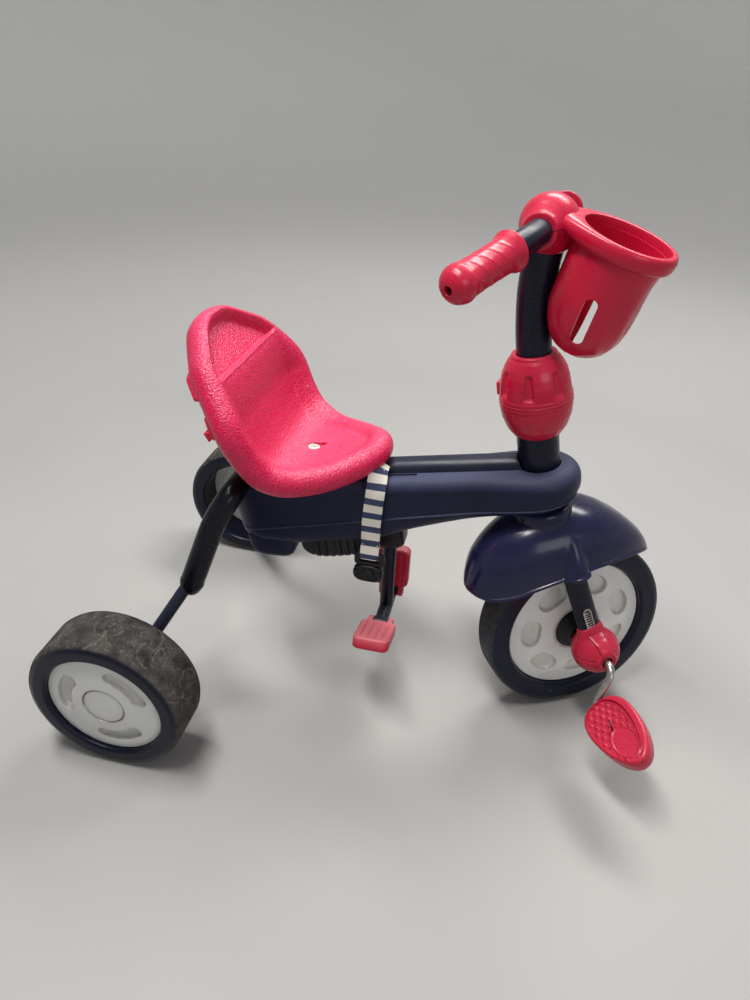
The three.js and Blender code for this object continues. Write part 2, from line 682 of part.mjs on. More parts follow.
// Half a section across the seat as [half width, height] pairs, from the underside's middle
// around the rim to the pan's middle. Heights count from the rim's middle line. Hollow is 1 where
// the section is a shell and 0 where it is solid.
function seatHalfSection(halfWidth, radius, depth, hollow) {
  const room = hollow * THREE.MathUtils.smoothstep(halfWidth, radius * 0.9, radius * 2.4);
  const pan = radius - depth * room;
  const under = -radius + Math.max(2 * radius - depth - SEAT_SHELL, 1) * room;
  const points = [];
  const start = Math.acos(THREE.MathUtils.clamp(-under / radius, -1, 1));
  const end = Math.PI - Math.acos(THREE.MathUtils.clamp(pan / radius, -1, 1));
  const edgeUnder = halfWidth - radius * Math.sin(start);
  points.push([0, under], [edgeUnder * 0.5, under]);
  const steps = 6;
  for (let step = 0; step <= steps; step += 1) {
    const angle = THREE.MathUtils.lerp(-start, 2 * Math.PI - end, step / steps);
    points.push([halfWidth + radius * Math.sin(angle), -radius * Math.cos(angle)]);
  }
  const edgePan = points[points.length - 1][0];
  points.push([edgePan * 0.5, pan], [0, pan]);
  return points;
}

function seatRing(place, up, halfWidth, radius, depth, hollow) {
  const half = seatHalfSection(halfWidth, radius, depth, hollow);
  const ring = [];
  const put = (y, height) => ring.push(place.clone().addScaledVector(up, height).setY(y));
  for (const [y, height] of half) put(y, height);
  for (let i = half.length - 2; i > 0; i -= 1) put(-half[i][0], half[i][1]);
  return ring;
}

function seatSolid() {
  const shares = [];
  for (let step = 0; step <= SEAT_STATIONS; step += 1) shares.push(step / SEAT_STATIONS);
  shares.push(LEDGE_SHARE - 0.004, LEDGE_SHARE + 0.004);
  shares.sort((a, b) => a - b);
  const rings = [];
  const cap = (share, sign) => {
    const { place, direction, up } = seatStation(share);
    const rounding = [84, 66, 44, 22].map((angle) => {
      const [forward, shrink] = [Math.sin(degrees(angle)), Math.cos(degrees(angle))];
      const middle = place.clone().addScaledVector(direction, SEAT_END_REACH * forward * sign);
      const halfWidth = place.y * (1 - 0.2 * forward ** 2);
      const hollow = Math.max(1 - 1.5 * forward, 0);
      return seatRing(middle, up, halfWidth, SEAT_RIM_RADIUS * shrink, seatDepth(share), hollow);
    });
    return sign < 0 ? rounding : rounding.reverse();
  };
  rings.push(...cap(0, -1));
  for (const share of shares) {
    const { place, up } = seatStation(share);
    rings.push(seatRing(place, up, place.y, SEAT_RIM_RADIUS, seatDepth(share), 1));
  }
  rings.push(...cap(1, 1));
  return lofted(rings);
}

const seat = seatSolid();

const strapY = -(COVER_HALF_WIDTH + STRAP_STANDOFF);

// The strap leaves a slot in the underside of the seat's rim and hangs clear of the cover.
function strapSolid(grow) {
  const half = STRAP_THICKNESS / 2 + grow;
  const line = [
    [STRAP_TOP_Y, STRAP_TOP + grow],
    [STRAP_TOP_Y - 1, STRAP_TOP - STRAP_IN_SEAT],
    [strapY, STRAP_TOP - STRAP_LEAN_DROP],
    [strapY, STRAP_BOTTOM],
  ];
  const shape = new THREE.Shape([
    ...line.map(([y, z]) => new THREE.Vector2(y - half, z)),
    ...line.reverse().map(([y, z]) => new THREE.Vector2(y + half, z)),
  ]);
  const width = STRAP_WIDTH + 2 * grow;
  const ribbon = new THREE.ExtrudeGeometry(shape, { depth: width, bevelEnabled: false });
  return solidOf(ribbon.rotateX(Math.PI / 2).rotateZ(Math.PI / 2))
    .translate([STRAP_X - width / 2, 0, 0]);
}
piece(tricycle, 'strap', strapSolid(0), webbing);

// The seat stands on a bracket on the frame tube, and one screw holds it.
const panUnder = (share) => {
  const { place, up } = seatStation(share);
  const height = SEAT_RIM_RADIUS - seatDepth(share) - SEAT_SHELL - 2 * GAP;
  return place.clone().setY(0).addScaledVector(up, height);
};
const bracketTops = [0.66, 0.7, 0.74, 0.78, 0.82].map((share) => inRaked(panUnder(share)));
const bracketHalfWidth = COVER_SLOT_HALF_WIDTH - 2 * GAP;
const seatBracket = largest(lofted(bracketTops.map(({ x, z }) => [
  at(x, bracketHalfWidth, z), at(x, -bracketHalfWidth, z),
  at(x, -bracketHalfWidth, 0), at(x, bracketHalfWidth, 0),
])).subtract(straightBar(at(-COVER_LENGTH, 0, 0), at(0, 0, 0), FRAME_TUBE_RADIUS + GAP)));

// One screw with a shallow head, along the seat's own up direction.
const screwStation = seatStation(SEAT_SCREW_SHARE);
const screwUp = new THREE.Quaternion().setFromUnitVectors(at(0, 0, 1), screwStation.up);
const screwSeat = screwStation.place.clone().setY(0)
  .addScaledVector(screwStation.up, SEAT_RIM_RADIUS - seatDepth(SEAT_SCREW_SHARE));
const screwMatrix = new THREE.Matrix4().compose(screwSeat, screwUp, at(1, 1, 1));
const screwSolid = (grow, headTop) => movedBy(turned([
  [0, -SEAT_SCREW_LENGTH - grow],
  [SEAT_SCREW_SHANK + grow, -SEAT_SCREW_LENGTH - grow],
  [SEAT_SCREW_SHANK + grow, -SEAT_SCREW_HEAD - 0.5 - grow],
  [SEAT_SCREW_RADIUS + grow, -SEAT_SCREW_HEAD - 0.5 - grow],
  [SEAT_SCREW_RADIUS + grow, headTop],
  [0, headTop],
], 20), screwMatrix);
piece(tricycle, 'seat_screw', screwSolid(0, -0.5), steel);
const screwHole = screwSolid(GAP, 12);
const seatCut = largest(seat.subtract(screwHole).subtract(strapSolid(GAP)));
piece(tricycle, 'seat_shell', seatCut, pinkPlastic);
piece(raked, 'seat_bracket', seatBracket.subtract(movedBy(screwHole, intoRaked)), blackPlastic);

// Pads that follow the back of the rim: a plain one high up, and a catch with a tab lower down.
function rimPad(share, sign, length, width, thickness) {
  const { place, direction, up } = seatStation(share);
  const middle = place.clone().setY(sign * place.y);
  const frame = new THREE.Matrix4().makeBasis(direction, at(0, 1, 0), up).setPosition(middle);
  const around = movedBy(block(length, width, 2 * SEAT_RIM_RADIUS + 20, at(0, 0, -SEAT_RIM_RADIUS)), frame);
  const away = (distance) => up.clone().multiplyScalar(-distance).toArray();
  const pad = around.intersect(seat.translate(away(thickness))).subtract(seat);
  return { pad: largest(pad.subtract(seat.translate(away(2 * GAP)))), frame };
}
for (const [side, sign] of sides) {
  const upper = rimPad(BACK_PAD_SHARE, sign, 34, 16, 7);
  piece(tricycle, `back_pad_${side}`, upper.pad, pinkPlastic);
  const lower = rimPad(BACK_CATCH_SHARE, sign, 40, 11, 4);
  const tab = movedBy(block(9, 8, 9, at(4, 0, -SEAT_RIM_RADIUS - 7)), lower.frame);
  piece(tricycle, `back_catch_${side}`, lower.pad.add(tab), pinkPlastic);
}

// ---------------------------------------------------------------- rear wheels

// A ring section with rounded shoulders, [radius, along the axle] pairs.
const tyreProfile = (inner, radius, width, shoulder) => [
  [inner, -width / 2],
  [radius - shoulder, -width / 2],
  [radius - shoulder * 0.3, -width / 2 + shoulder * 0.3],
  [radius, -width / 2 + shoulder],
  [radius, width / 2 - shoulder],
  [radius - shoulder * 0.3, width / 2 - shoulder * 0.3],
  [radius - shoulder, width / 2],
  [inner, width / 2],
];

// A curved recess between two radii, over an angle each side of the middle.
function kidney(inner, outer, halfAngle, depth) {
  const shape = new THREE.Shape();
  shape.absarc(0, 0, outer, -halfAngle, halfAngle, false);
  shape.absarc(0, 0, inner, halfAngle, -halfAngle, true);
  const options = { depth, bevelEnabled: false, curveSegments: 4 };
  return solidOf(new THREE.ExtrudeGeometry(shape, options));
}

for (const [side, sign] of sides) {
  const wheel = new THREE.Group();
  wheel.position.set(0, sign * REAR_TRACK / 2, REAR_WHEEL_RADIUS);
  wheel.rotation.z = sign < 0 ? Math.PI : 0;
  tricycle.add(wheel);
  const half = REAR_TYRE_WIDTH / 2;
  const face = half - REAR_DISC_RECESS;
  const tyre = wheelTurned(
    tyreProfile(REAR_DISC_RADIUS + GAP, REAR_WHEEL_RADIUS, REAR_TYRE_WIDTH, 9),
    WHEEL_SEGMENTS,
  );
  piece(wheel, `rear_tyre_${side}`, tyre, tyrePlastic);
  const bore = AXLE_ROD_RADIUS + 2 * GAP;
  let disc = wheelTurned([
    [bore, -face],
    [REAR_HUB_RADIUS, -face],
    [REAR_HUB_RADIUS, face - REAR_WEB],
    [REAR_DISC_RADIUS, face - REAR_WEB],
    [REAR_DISC_RADIUS, face],
    [REAR_DISC_RADIUS - 10, face + 1],
    [REAR_HUB_RADIUS + 8, face + 4],
    [bore, face + 4],
  ], WHEEL_SEGMENTS);
  for (let turn = 0; turn < 3; turn += 1) {
    const pocket = kidney(REAR_HUB_RADIUS + 10, REAR_DISC_RADIUS - 14, degrees(36), 10)
      .rotate([-90, 0, 0]).translate([0, face - 1, 0]).rotate([0, turn * 120 + 30, 0]);
    disc = disc.subtract(pocket);
  }
  piece(wheel, `rear_disc_${side}`, disc, whitePlastic);
  const cap = wheelTurned([
    [0, face + 4 + GAP],
    [REAR_HUB_RADIUS + 2, face + 4 + GAP],
    [REAR_HUB_RADIUS, face + 7],
    [REAR_HUB_RADIUS * 0.6, face + 8.5],
    [0, face + 9],
  ], 20);
  piece(wheel, `rear_cap_${side}`, cap, whitePlastic);
}

// ---------------------------------------------------------------- fork, with the front wheel

// The axle lies this far below the head point along the steering axis, so that the turned wheel
// stands on the ground.
const axleLean = Math.sin(STEER_ANGLE) * Math.sin(RAKE);
const FORK_DROP = (HEAD_HEIGHT + FORK_OFFSET * Math.cos(STEER_ANGLE) * Math.sin(RAKE)
  - FRONT_WHEEL_RADIUS * Math.sqrt(1 - axleLean ** 2)
  - FRONT_TREAD_FLAT / 2 * Math.abs(axleLean)) / Math.cos(RAKE);
const axle = (y) => at(FORK_OFFSET, y, -FORK_DROP);

const steerer = turned([
  [0, -CROWN_TOP + GAP],
  [STEERER_RADIUS, -CROWN_TOP + GAP],
  [STEERER_RADIUS, HEAD_TUBE_ABOVE + COUPLING_CUP_HEIGHT - 6],
  [0, HEAD_TUBE_ABOVE + COUPLING_CUP_HEIGHT - 6],
], 24);
piece(fork, 'steerer', steerer, steel);

const legKnee = (sign) => at(13, sign * (CROWN_HALF_SPREAD + 8), -CROWN_TOP - 36);
const legFoot = (sign, grow = 0) => at(
  FORK_OFFSET - 2,
  sign * FORK_HALF_SPREAD,
  -FORK_DROP + 15 - grow,
);
const legSolid = (sign, grow) => bentBar([
  at(9, sign * CROWN_HALF_SPREAD, -CROWN_TOP - 9 + grow),
  legKnee(sign),
  legFoot(sign, grow),
], FORK_LEG_WIDTH / 2 + grow, FORK_LEG_THICKNESS / 2 + grow, 20, at(1, 0, 0), 12);

// A louvred insert in the outer face of each leg, just above the axle cover.
const legLean = Math.atan2(
  legFoot(1).y - legKnee(1).y,
  legKnee(1).z - legFoot(1).z,
) * 180 / Math.PI;
const ventSolid = (sign, grow) => {
  const share = (legKnee(1).z + FORK_DROP - VENT_RISE) / (legKnee(1).z - legFoot(1).z);
  const middle = legKnee(sign).lerp(legFoot(sign), share);
  const out = FORK_LEG_THICKNESS / 2 - VENT_THICKNESS / 2 + 0.4;
  return roundedPlate(
    roundedBox(VENT_WIDTH + 2 * grow, VENT_HEIGHT + 2 * grow, VENT_WIDTH / 2 - 0.5),
    VENT_THICKNESS + 2 * grow,
    0.6,
    3,
  ).rotate([90, 0, 0]).translate([0, sign * out, 0]).rotate([sign * legLean, 0, 0])
    .translate(middle.toArray());
};

const crownBlock = solidOf(new THREE.ExtrudeGeometry(
  roundedBox(CROWN_LENGTH, 2 * CROWN_HALF_SPREAD + 8, CROWN_THICKNESS),
  { depth: CROWN_THICKNESS, bevelEnabled: false, curveSegments: 4 },
).translate(6, 0, -CROWN_TOP - CROWN_THICKNESS));
let crown = crownBlock;
for (const [, sign] of sides) crown = crown.subtract(legSolid(sign, GAP));
piece(fork, 'fork_crown', largest(crown), navyPaint);

for (const [side, sign] of sides) {
  piece(fork, `fork_leg_${side}`, legSolid(sign, 0).subtract(ventSolid(sign, GAP)), navyPaint);
  piece(fork, `fork_vent_${side}`, ventSolid(sign, 0), steel);
  const boss = ball(BALL_RADIUS, axle(sign * BALL_SPREAD), 14, 8)
    .subtract(legSolid(sign, GAP))
    .subtract(straightBar(axle(sign * 20), axle(sign * 140), CRANK_ROD_RADIUS + 1.5, 16));
  piece(fork, `axle_cover_${side}`, largest(boss), redPlastic);
}

// Fender: sections across it from the tail to the nose. Each gives its place in shares of the front
// wheel's radius, its half width in shares of the widest one's, and its top and bottom in shares of
// the crown's distance below the head point.
const fenderStations = [
  [-0.8583, 0.1379, 1.575, 1.7], [-0.8083, 0.3448, 1.375, 1.7375], [-0.7, 0.5862, 1.1, 1.75],
  [-0.5167, 0.7759, 0.8625, 1.7125], [-0.3, 0.8966, 0.7125, 1.625], [0, 0.9828, 0.65, 1.5375],
  [0.2833, 1, 0.6625, 1.4937], [0.5333, 0.9483, 0.8, 1.5125], [0.7667, 0.8103, 1.05, 1.575],
  [0.9833, 0.569, 1.3875, 1.7], [1.0917, 0.3276, 1.65, 1.8125], [1.1417, 0.1207, 1.7875, 1.875],
].map(([ahead, width, top, bottom]) => [
  ahead * FRONT_WHEEL_RADIUS,
  width * FENDER_HALF_WIDTH,
  -top * CROWN_TOP,
  -bottom * CROWN_TOP,
]);
function fenderRing([x, halfWidth, top, bottom], wall) {
  const ring = [];
  const steps = 10;
  const low = wall > 0 ? bottom - 40 : bottom;
  for (let step = 0; step <= steps; step += 1) {
    const angle = Math.PI * step / steps;
    const y = Math.sign(Math.cos(angle)) * Math.abs(Math.cos(angle)) ** 0.85;
    const height = Math.sin(angle) ** 0.85;
    const z = bottom + (top - wall - bottom) * height;
    ring.push(at(x, (halfWidth - wall) * y, z));
  }
  if (wall > 0) ring.push(at(x, -(halfWidth - wall), low), at(x, halfWidth - wall, low));
  return ring;
}
const fenderOuter = lofted(fenderStations.map((station) => fenderRing(station, 0)));
const innerStations = fenderStations.slice(1, -1);
const fenderInner = lofted(innerStations.map((station) => fenderRing(station, FENDER_WALL)));
const fender = fenderOuter.subtract(fenderInner)
  .subtract(straightBar(at(0, 0, -120), at(0, 0, 0), COLLAR_SLEEVE_RADIUS + GAP, 24));
piece(fork, 'fender', largest(fender), navyPlastic);

const collar = turned([
  [STEERER_RADIUS + GAP, -CROWN_TOP + GAP],
  [COLLAR_SLEEVE_RADIUS, -CROWN_TOP + GAP],
  [COLLAR_SLEEVE_RADIUS, -66],
  [COLLAR_RADIUS, -66],
  [COLLAR_RADIUS, -HEAD_TUBE_BELOW - 3],
  [COLLAR_RADIUS - 3, -HEAD_TUBE_BELOW - GAP],
  [STEERER_RADIUS + GAP, -HEAD_TUBE_BELOW - GAP],
], 24).subtract(lofted(fenderStations.map(([x, w, top, bottom]) => fenderRing([x, w, top + GAP, bottom], 0)))
  .subtract(straightBar(at(0, 0, -120), at(0, 0, 0), COLLAR_SLEEVE_RADIUS, 24)));
piece(fork, 'fender_collar', largest(collar), navyPlastic);

// ---------------------------------------------------------------- front wheel and cranks

const frontWheel = new THREE.Group();
frontWheel.position.copy(axle(0));
fork.add(frontWheel);

const frontTyre = wheelTurned(
  tyreProfile(FRONT_DISC_RADIUS + GAP, FRONT_WHEEL_RADIUS, FRONT_TYRE_WIDTH, 8),
  WHEEL_SEGMENTS,
);
piece(frontWheel, 'front_tyre', frontTyre, navyTyre);

const frontFace = FRONT_TYRE_WIDTH / 2 - FRONT_DISC_RECESS;
const boreRadius = CRANK_ROD_RADIUS + GAP;
let frontDisc = wheelTurned([
  [boreRadius, -frontFace],
  [FRONT_DISC_RADIUS, -frontFace],
  [FRONT_DISC_RADIUS, frontFace],
  [boreRadius, frontFace],
], WHEEL_SEGMENTS);
for (let turn = 0; turn < DIMPLES; turn += 1) {
  for (const sign of [-1, 1]) {
    const dimple = solidOf(new THREE.ExtrudeGeometry(
      ellipseShape(9, 14),
      { depth: 10, bevelEnabled: false, curveSegments: 3 },
    )).translate([64, 0, -5]).rotate([-90, 0, 0])
      .translate([0, sign * (frontFace + 5 - DIMPLE_DEPTH), 0]).rotate([0, turn * 360 / DIMPLES, 0]);
    frontDisc = frontDisc.subtract(dimple);
  }
}
piece(frontWheel, 'front_disc', frontDisc, whitePlastic);

const hubEnd = BALL_SPREAD - BALL_RADIUS - 1;
for (const [side, sign] of sides) {
  const hub = wheelTurned([
    [boreRadius, frontFace + GAP],
    [HUB_BOSS_RADIUS, frontFace + GAP],
    [HUB_BOSS_RADIUS, frontFace + 12],
    [HUB_BOSS_RADIUS - 8, hubEnd],
    [boreRadius, hubEnd],
  ], 28);
  piece(frontWheel, `front_hub_${side}`, sign < 0 ? hub.rotate([180, 0, 0]) : hub, blackPlastic);
}

// One bent rod is the axle, both cranks and both pedal spindles.
const spindleEnd = PEDAL_INNER + PEDAL_LENGTH * 0.72;
const crankEnd = (sign, y) => at(
  sign * CRANK_LENGTH * Math.sin(CRANK_ANGLE),
  y,
  sign * CRANK_LENGTH * Math.cos(CRANK_ANGLE),
);
const crankRod = bentBar([
  crankEnd(-1, -spindleEnd),
  crankEnd(-1, -CRANK_SPREAD),
  at(0, -CRANK_SPREAD, 0),
  at(0, CRANK_SPREAD, 0),
  crankEnd(1, CRANK_SPREAD),
  crankEnd(1, spindleEnd),
], CRANK_ROD_RADIUS, CRANK_ROD_RADIUS, [SPINDLE_BEND, CRANK_BEND, CRANK_BEND, SPINDLE_BEND], at(1, 0, 0));
piece(frontWheel, 'crank_rod', crankRod, steel);

// A pedal's outline: broad at the crank, narrow and round at the outer end.
function pedalOutline(inset) {
  const half = PEDAL_WIDTH / 2 - inset;
  const length = PEDAL_LENGTH - inset;
  const shape = new THREE.Shape();
  shape.moveTo(0, inset);
  shape.bezierCurveTo(half * 0.75, inset, half, PEDAL_LENGTH * 0.16, half, PEDAL_LENGTH * 0.36);
  shape.bezierCurveTo(half, PEDAL_LENGTH * 0.62, half * 0.62, length, 0, length);
  shape.bezierCurveTo(-half * 0.62, length, -half, PEDAL_LENGTH * 0.62, -half, PEDAL_LENGTH * 0.36);
  shape.bezierCurveTo(-half, PEDAL_LENGTH * 0.16, -half * 0.75, inset, 0, inset);
  return shape;
}
for (const [side, sign] of sides) {
  const pedal = new THREE.Group();
  pedal.position.copy(crankEnd(sign, sign * PEDAL_INNER));
  pedal.rotation.y = -PEDAL_TILT;
  frontWheel.add(pedal);
  let body = roundedPlate(pedalOutline(0), PEDAL_THICKNESS, 4, 5);
  for (const face of [-1, 1]) {
    const recess = solidOf(new THREE.ExtrudeGeometry(
      pedalOutline(PEDAL_RIM),
      { depth: 10, bevelEnabled: false, curveSegments: 5 },
    )).translate([0, 0, face * (PEDAL_THICKNESS / 2 - PEDAL_RECESS + 5) - 5]);
    body = body.subtract(recess);
  }
  const bore = straightBar(
    at(0, -5, 0),
    at(0, spindleEnd - PEDAL_INNER + 1, 0),
    CRANK_ROD_RADIUS + 2 * GAP,
    12,
  );
  body = body.subtract(bore);
  if (sign < 0) body = body.rotate([0, 0, 180]);
  piece(pedal, `pedal_${side}`, body, redPlastic);
}

// ---------------------------------------------------------------- footrest

// The bracket hangs under the cover. The post and the crossbar on its foot are one bent steel piece.
const crossbarPoint = (y) => at(FOOTREST_X, y, CROSSBAR_HEIGHT);
const postUp = (grow) => straightBar(
  at(FOOTREST_X, 0, CROSSBAR_HEIGHT),
  at(FOOTREST_X, 0, FOOTREST_TOP + grow),
  POST_RADIUS + grow,
  18,
);
const crossbar = straightBar(
  crossbarPoint(-CROSSBAR_HALF_SPAN),
  crossbarPoint(CROSSBAR_HALF_SPAN),
  POST_RADIUS,
  18,
);
const footPin = (y, grow) => straightBar(
  at(FOOTREST_X - POST_RADIUS - PAD_EAR - GAP, y, CROSSBAR_HEIGHT),
  at(FOOTREST_X + POST_RADIUS + PAD_EAR + GAP, y, CROSSBAR_HEIGHT),
  PAD_PIN_RADIUS + grow,
  12,
);
let post = postUp(0).add(crossbar);
for (const [, sign] of sides) {
  const hinge = straightBar(
    at(FOOTREST_X - POST_RADIUS, sign * CROSSBAR_HALF_SPAN, CROSSBAR_HEIGHT),
    at(FOOTREST_X + POST_RADIUS, sign * CROSSBAR_HALF_SPAN, CROSSBAR_HEIGHT),
    POST_RADIUS,
    18,
  );
  post = post.add(hinge).subtract(footPin(sign * CROSSBAR_HALF_SPAN, GAP));
}
piece(tricycle, 'footrest_post', post, navyPaint);

const mountBlock = block(MOUNT_LENGTH, MOUNT_WIDTH, MOUNT_HEIGHT, at(mountAt.x, 0, mountAt.z + 8));
const mount = largest(mountBlock.subtract(coverHull).subtract(movedBy(postUp(GAP), intoRaked)));
piece(raked, 'footrest_mount', mount, blackPlastic);

for (const [side, sign] of sides) {
  const pivot = new THREE.Group();
  pivot.position.set(FOOTREST_X, sign * CROSSBAR_HALF_SPAN, CROSSBAR_HEIGHT);
  pivot.rotation.x = sign < 0 ? -PAD_OUT_TILT : Math.PI / 2;
  tricycle.add(pivot);
  const reach = POST_RADIUS + GAP + 1;
  const plate = roundedPlate(roundedBox(PAD_WIDTH, PAD_LENGTH, 9), PAD_THICKNESS, 3, 3)
    .translate([0, reach + PAD_LENGTH / 2, 0]);
  let pad = plate;
  for (const end of [-1, 1]) {
    const ear = straightBar(
      at(end * (POST_RADIUS + GAP), 0, 0),
      at(end * (POST_RADIUS + GAP + PAD_EAR), 0, 0),
      PAD_THICKNESS / 2,
      12,
    );
    const arm = block(PAD_EAR, reach + 4, PAD_THICKNESS - 1, at(
      end * (POST_RADIUS + GAP + PAD_EAR / 2),
      (reach + 4) / 2,
      0,
    ));
    pad = pad.add(ear).add(arm);
  }
  const pinHole = straightBar(at(-30, 0, 0), at(30, 0, 0), PAD_PIN_RADIUS + GAP, 12);
  pad = pad.subtract(pinHole);
  piece(pivot, `foot_pad_${side}`, sign < 0 ? pad.rotate([0, 0, 180]) : pad, redPlastic);
  const pin = straightBar(
    at(-POST_RADIUS - PAD_EAR - GAP, 0, 0),
    at(POST_RADIUS + PAD_EAR + GAP, 0, 0),
    PAD_PIN_RADIUS,
    12,
  );
  piece(pivot, `foot_pin_${side}`, pin, steel);
}

// ---------------------------------------------------------------- buckle

const uprightPlate = (shape, thickness, bevel, centre) => (
  roundedPlate(shape, thickness, bevel, 3).rotate([90, 0, 0]).translate([centre.x, centre.y, centre.z])
);
const loopMiddle = at(STRAP_X, strapY, STRAP_BOTTOM - GAP - LOOP_HEIGHT / 2);
const loopFrame = uprightPlate(roundedBox(BUCKLE_WIDTH, LOOP_HEIGHT, 5), LOOP_THICKNESS, 1, loopMiddle)
  .subtract(block(STRAP_WIDTH + 2, 2 * BUCKLE_THICKNESS, LOOP_SLOT_HEIGHT, loopMiddle));
piece(tricycle, 'buckle_loop', loopFrame, blackPlastic);
const bodyMiddle = at(
  STRAP_X - 1,
  strapY,
  loopMiddle.z - LOOP_HEIGHT / 2 - GAP - BUCKLE_HEIGHT / 2,
);
const buckleShape = roundedBox(BUCKLE_WIDTH, BUCKLE_HEIGHT, 8);
const buckleBody = uprightPlate(buckleShape, BUCKLE_THICKNESS, 2, bodyMiddle)
  .subtract(straightBar(
    at(bodyMiddle.x, strapY - BUCKLE_THICKNESS, bodyMiddle.z),
    at(bodyMiddle.x, strapY - BUCKLE_THICKNESS / 2 + BUTTON_POCKET, bodyMiddle.z),
    BUTTON_RADIUS + GAP,
    20,
  ));
piece(tricycle, 'buckle_body', buckleBody, blackPlastic);
piece(tricycle, 'buckle_button', straightBar(
  at(bodyMiddle.x, strapY - BUCKLE_THICKNESS / 2 - 1, bodyMiddle.z),
  at(bodyMiddle.x, strapY - BUCKLE_THICKNESS / 2 + BUTTON_POCKET - BUTTON_TRAVEL - GAP, bodyMiddle.z),
  BUTTON_RADIUS,
  20,
), blackPlastic);

// ---------------------------------------------------------------- coupling and column

const cupBase = HEAD_TUBE_ABOVE + GAP;
const cupTop = cupBase + COUPLING_CUP_HEIGHT;
const cup = turned([
  [STEERER_RADIUS + GAP, cupBase],
  [COUPLING_RADIUS * 0.66, cupBase],
  [COUPLING_RADIUS * 0.84, cupBase + COUPLING_CUP_HEIGHT * 0.25],
  [COUPLING_RADIUS * 0.96, cupBase + COUPLING_CUP_HEIGHT * 0.6],
  [COUPLING_RADIUS, cupTop - 4],
  [COUPLING_RADIUS, cupTop],
  [STEERER_RADIUS + GAP, cupTop],
], 24);
piece(fork, 'coupling_cup', cup, redPlastic);

const bellBase = cupTop + GAP;
const bellTop = bellBase + COUPLING_BELL_HEIGHT;
const columnFoot = bellBase + 8;
let bell = turned([
  [0, bellBase],
  [COUPLING_RADIUS, bellBase],
  [COUPLING_RADIUS - 0.5, bellBase + 5],
  [COUPLING_RADIUS * 0.94, bellBase + COUPLING_BELL_HEIGHT * 0.42],
  [COUPLING_RADIUS * 0.8, bellBase + COUPLING_BELL_HEIGHT * 0.75],
  [COUPLING_RADIUS * 0.62, bellTop - 2],
  [COUPLING_RADIUS * 0.56, bellTop],
  [0, bellTop],
], 24).subtract(straightBar(at(0, 0, columnFoot - GAP), at(0, 0, bellTop + 5), COLUMN_RADIUS + GAP, 20));
for (let turn = 0; turn < BELL_FLUTES; turn += 1) {
  const flute = bentBar([
    at(COUPLING_RADIUS + 1, 0, bellBase + 6),
    at(COUPLING_RADIUS * 0.88, 0, bellBase + COUPLING_BELL_HEIGHT * 0.68),
  ], 3, 3.5, 8, at(1, 0, 0), 6).rotate([0, 0, turn * 360 / BELL_FLUTES + 20]);
  bell = bell.subtract(flute);
}
const latchBox = (grow) => block(
  8 + 2 * grow,
  14 + 2 * grow,
  15 + 2 * grow,
  at(-COUPLING_RADIUS + 1.5, 0, bellBase + 10),
);
const latchPocket = latchBox(GAP).add(latchBox(GAP).translate([LATCH_TRAVEL, 0, 0]));
piece(handlebar, 'coupling_bell', bell.subtract(latchPocket), redPlastic);
piece(handlebar, 'coupling_latch', latchBox(0), redPlastic);

const columnPath = [
  at(0, 0, columnFoot),
  at(0, 0, bellTop),
  at(1, 0, bellTop + 28),
  at(5, 0, bellTop + 64),
  at(HANDLEBAR_AHEAD - 7, 0, HANDLEBAR_HEIGHT - 26),
];
const columnTop = HANDLEBAR_HEIGHT - HANDLEBAR_RADIUS - 3;
const column = (grow) => bar(
  [...columnPath, at(HANDLEBAR_AHEAD - 3, 0, columnTop + grow)],
  COLUMN_RADIUS + grow,
  8,
  18,
);

// ---------------------------------------------------------------- handlebar, grips and hub covers

const gripSlope = HANDLEBAR_SWEEP / (HANDLEBAR_HALF_WIDTH - 50);
const barPoint = (y) => {
  const out = Math.max(Math.abs(y) - 50, 0);
  const drop = HANDLEBAR_DROP / (HANDLEBAR_HALF_WIDTH - 50);
  return at(HANDLEBAR_AHEAD - out * gripSlope, y, HANDLEBAR_HEIGHT - out * drop);
};
const barEnd = HANDLEBAR_HALF_WIDTH - 10;
const barSolid = (grow) => bentBar(
  [-barEnd, -50, 50, barEnd].map(barPoint),
  HANDLEBAR_RADIUS + grow,
  HANDLEBAR_RADIUS + grow,
  18,
  at(0, 0, 1),
  16,
);
piece(handlebar, 'handlebar_tube', barSolid(0), navyPaint);

for (const [side, sign] of sides) {
  const outer = barPoint(sign * HANDLEBAR_HALF_WIDTH);
  const inner = barPoint(sign * 60);
  const direction = outer.clone().sub(inner).normalize();
  const grip = turned([
    [HANDLEBAR_RADIUS + 2 * GAP, 0],
    [GRIP_RADIUS + 2.5, 0],
    [GRIP_RADIUS + 3, 4],
    [GRIP_RADIUS, 9],
    [GRIP_RADIUS - 0.5, 50],
    [GRIP_RADIUS + 1, GRIP_LENGTH - 18],
    [GRIP_RADIUS * 0.95, GRIP_LENGTH - 9],
    [GRIP_RADIUS * 0.7, GRIP_LENGTH - 3],
    [GRIP_RADIUS * 0.4, GRIP_LENGTH],
    [4, GRIP_LENGTH],
    [4, GRIP_LENGTH - 5],
    [HANDLEBAR_RADIUS + 2 * GAP, GRIP_LENGTH - 7],
  ], 14);
  const mesh = piece(handlebar, `grip_${side}`, grip, redPlastic);
  mesh.quaternion.setFromUnitVectors(at(0, 0, 1), direction);
  mesh.position.copy(outer).addScaledVector(direction, -GRIP_LENGTH);
}

// ---------------------------------------------------------------- basket

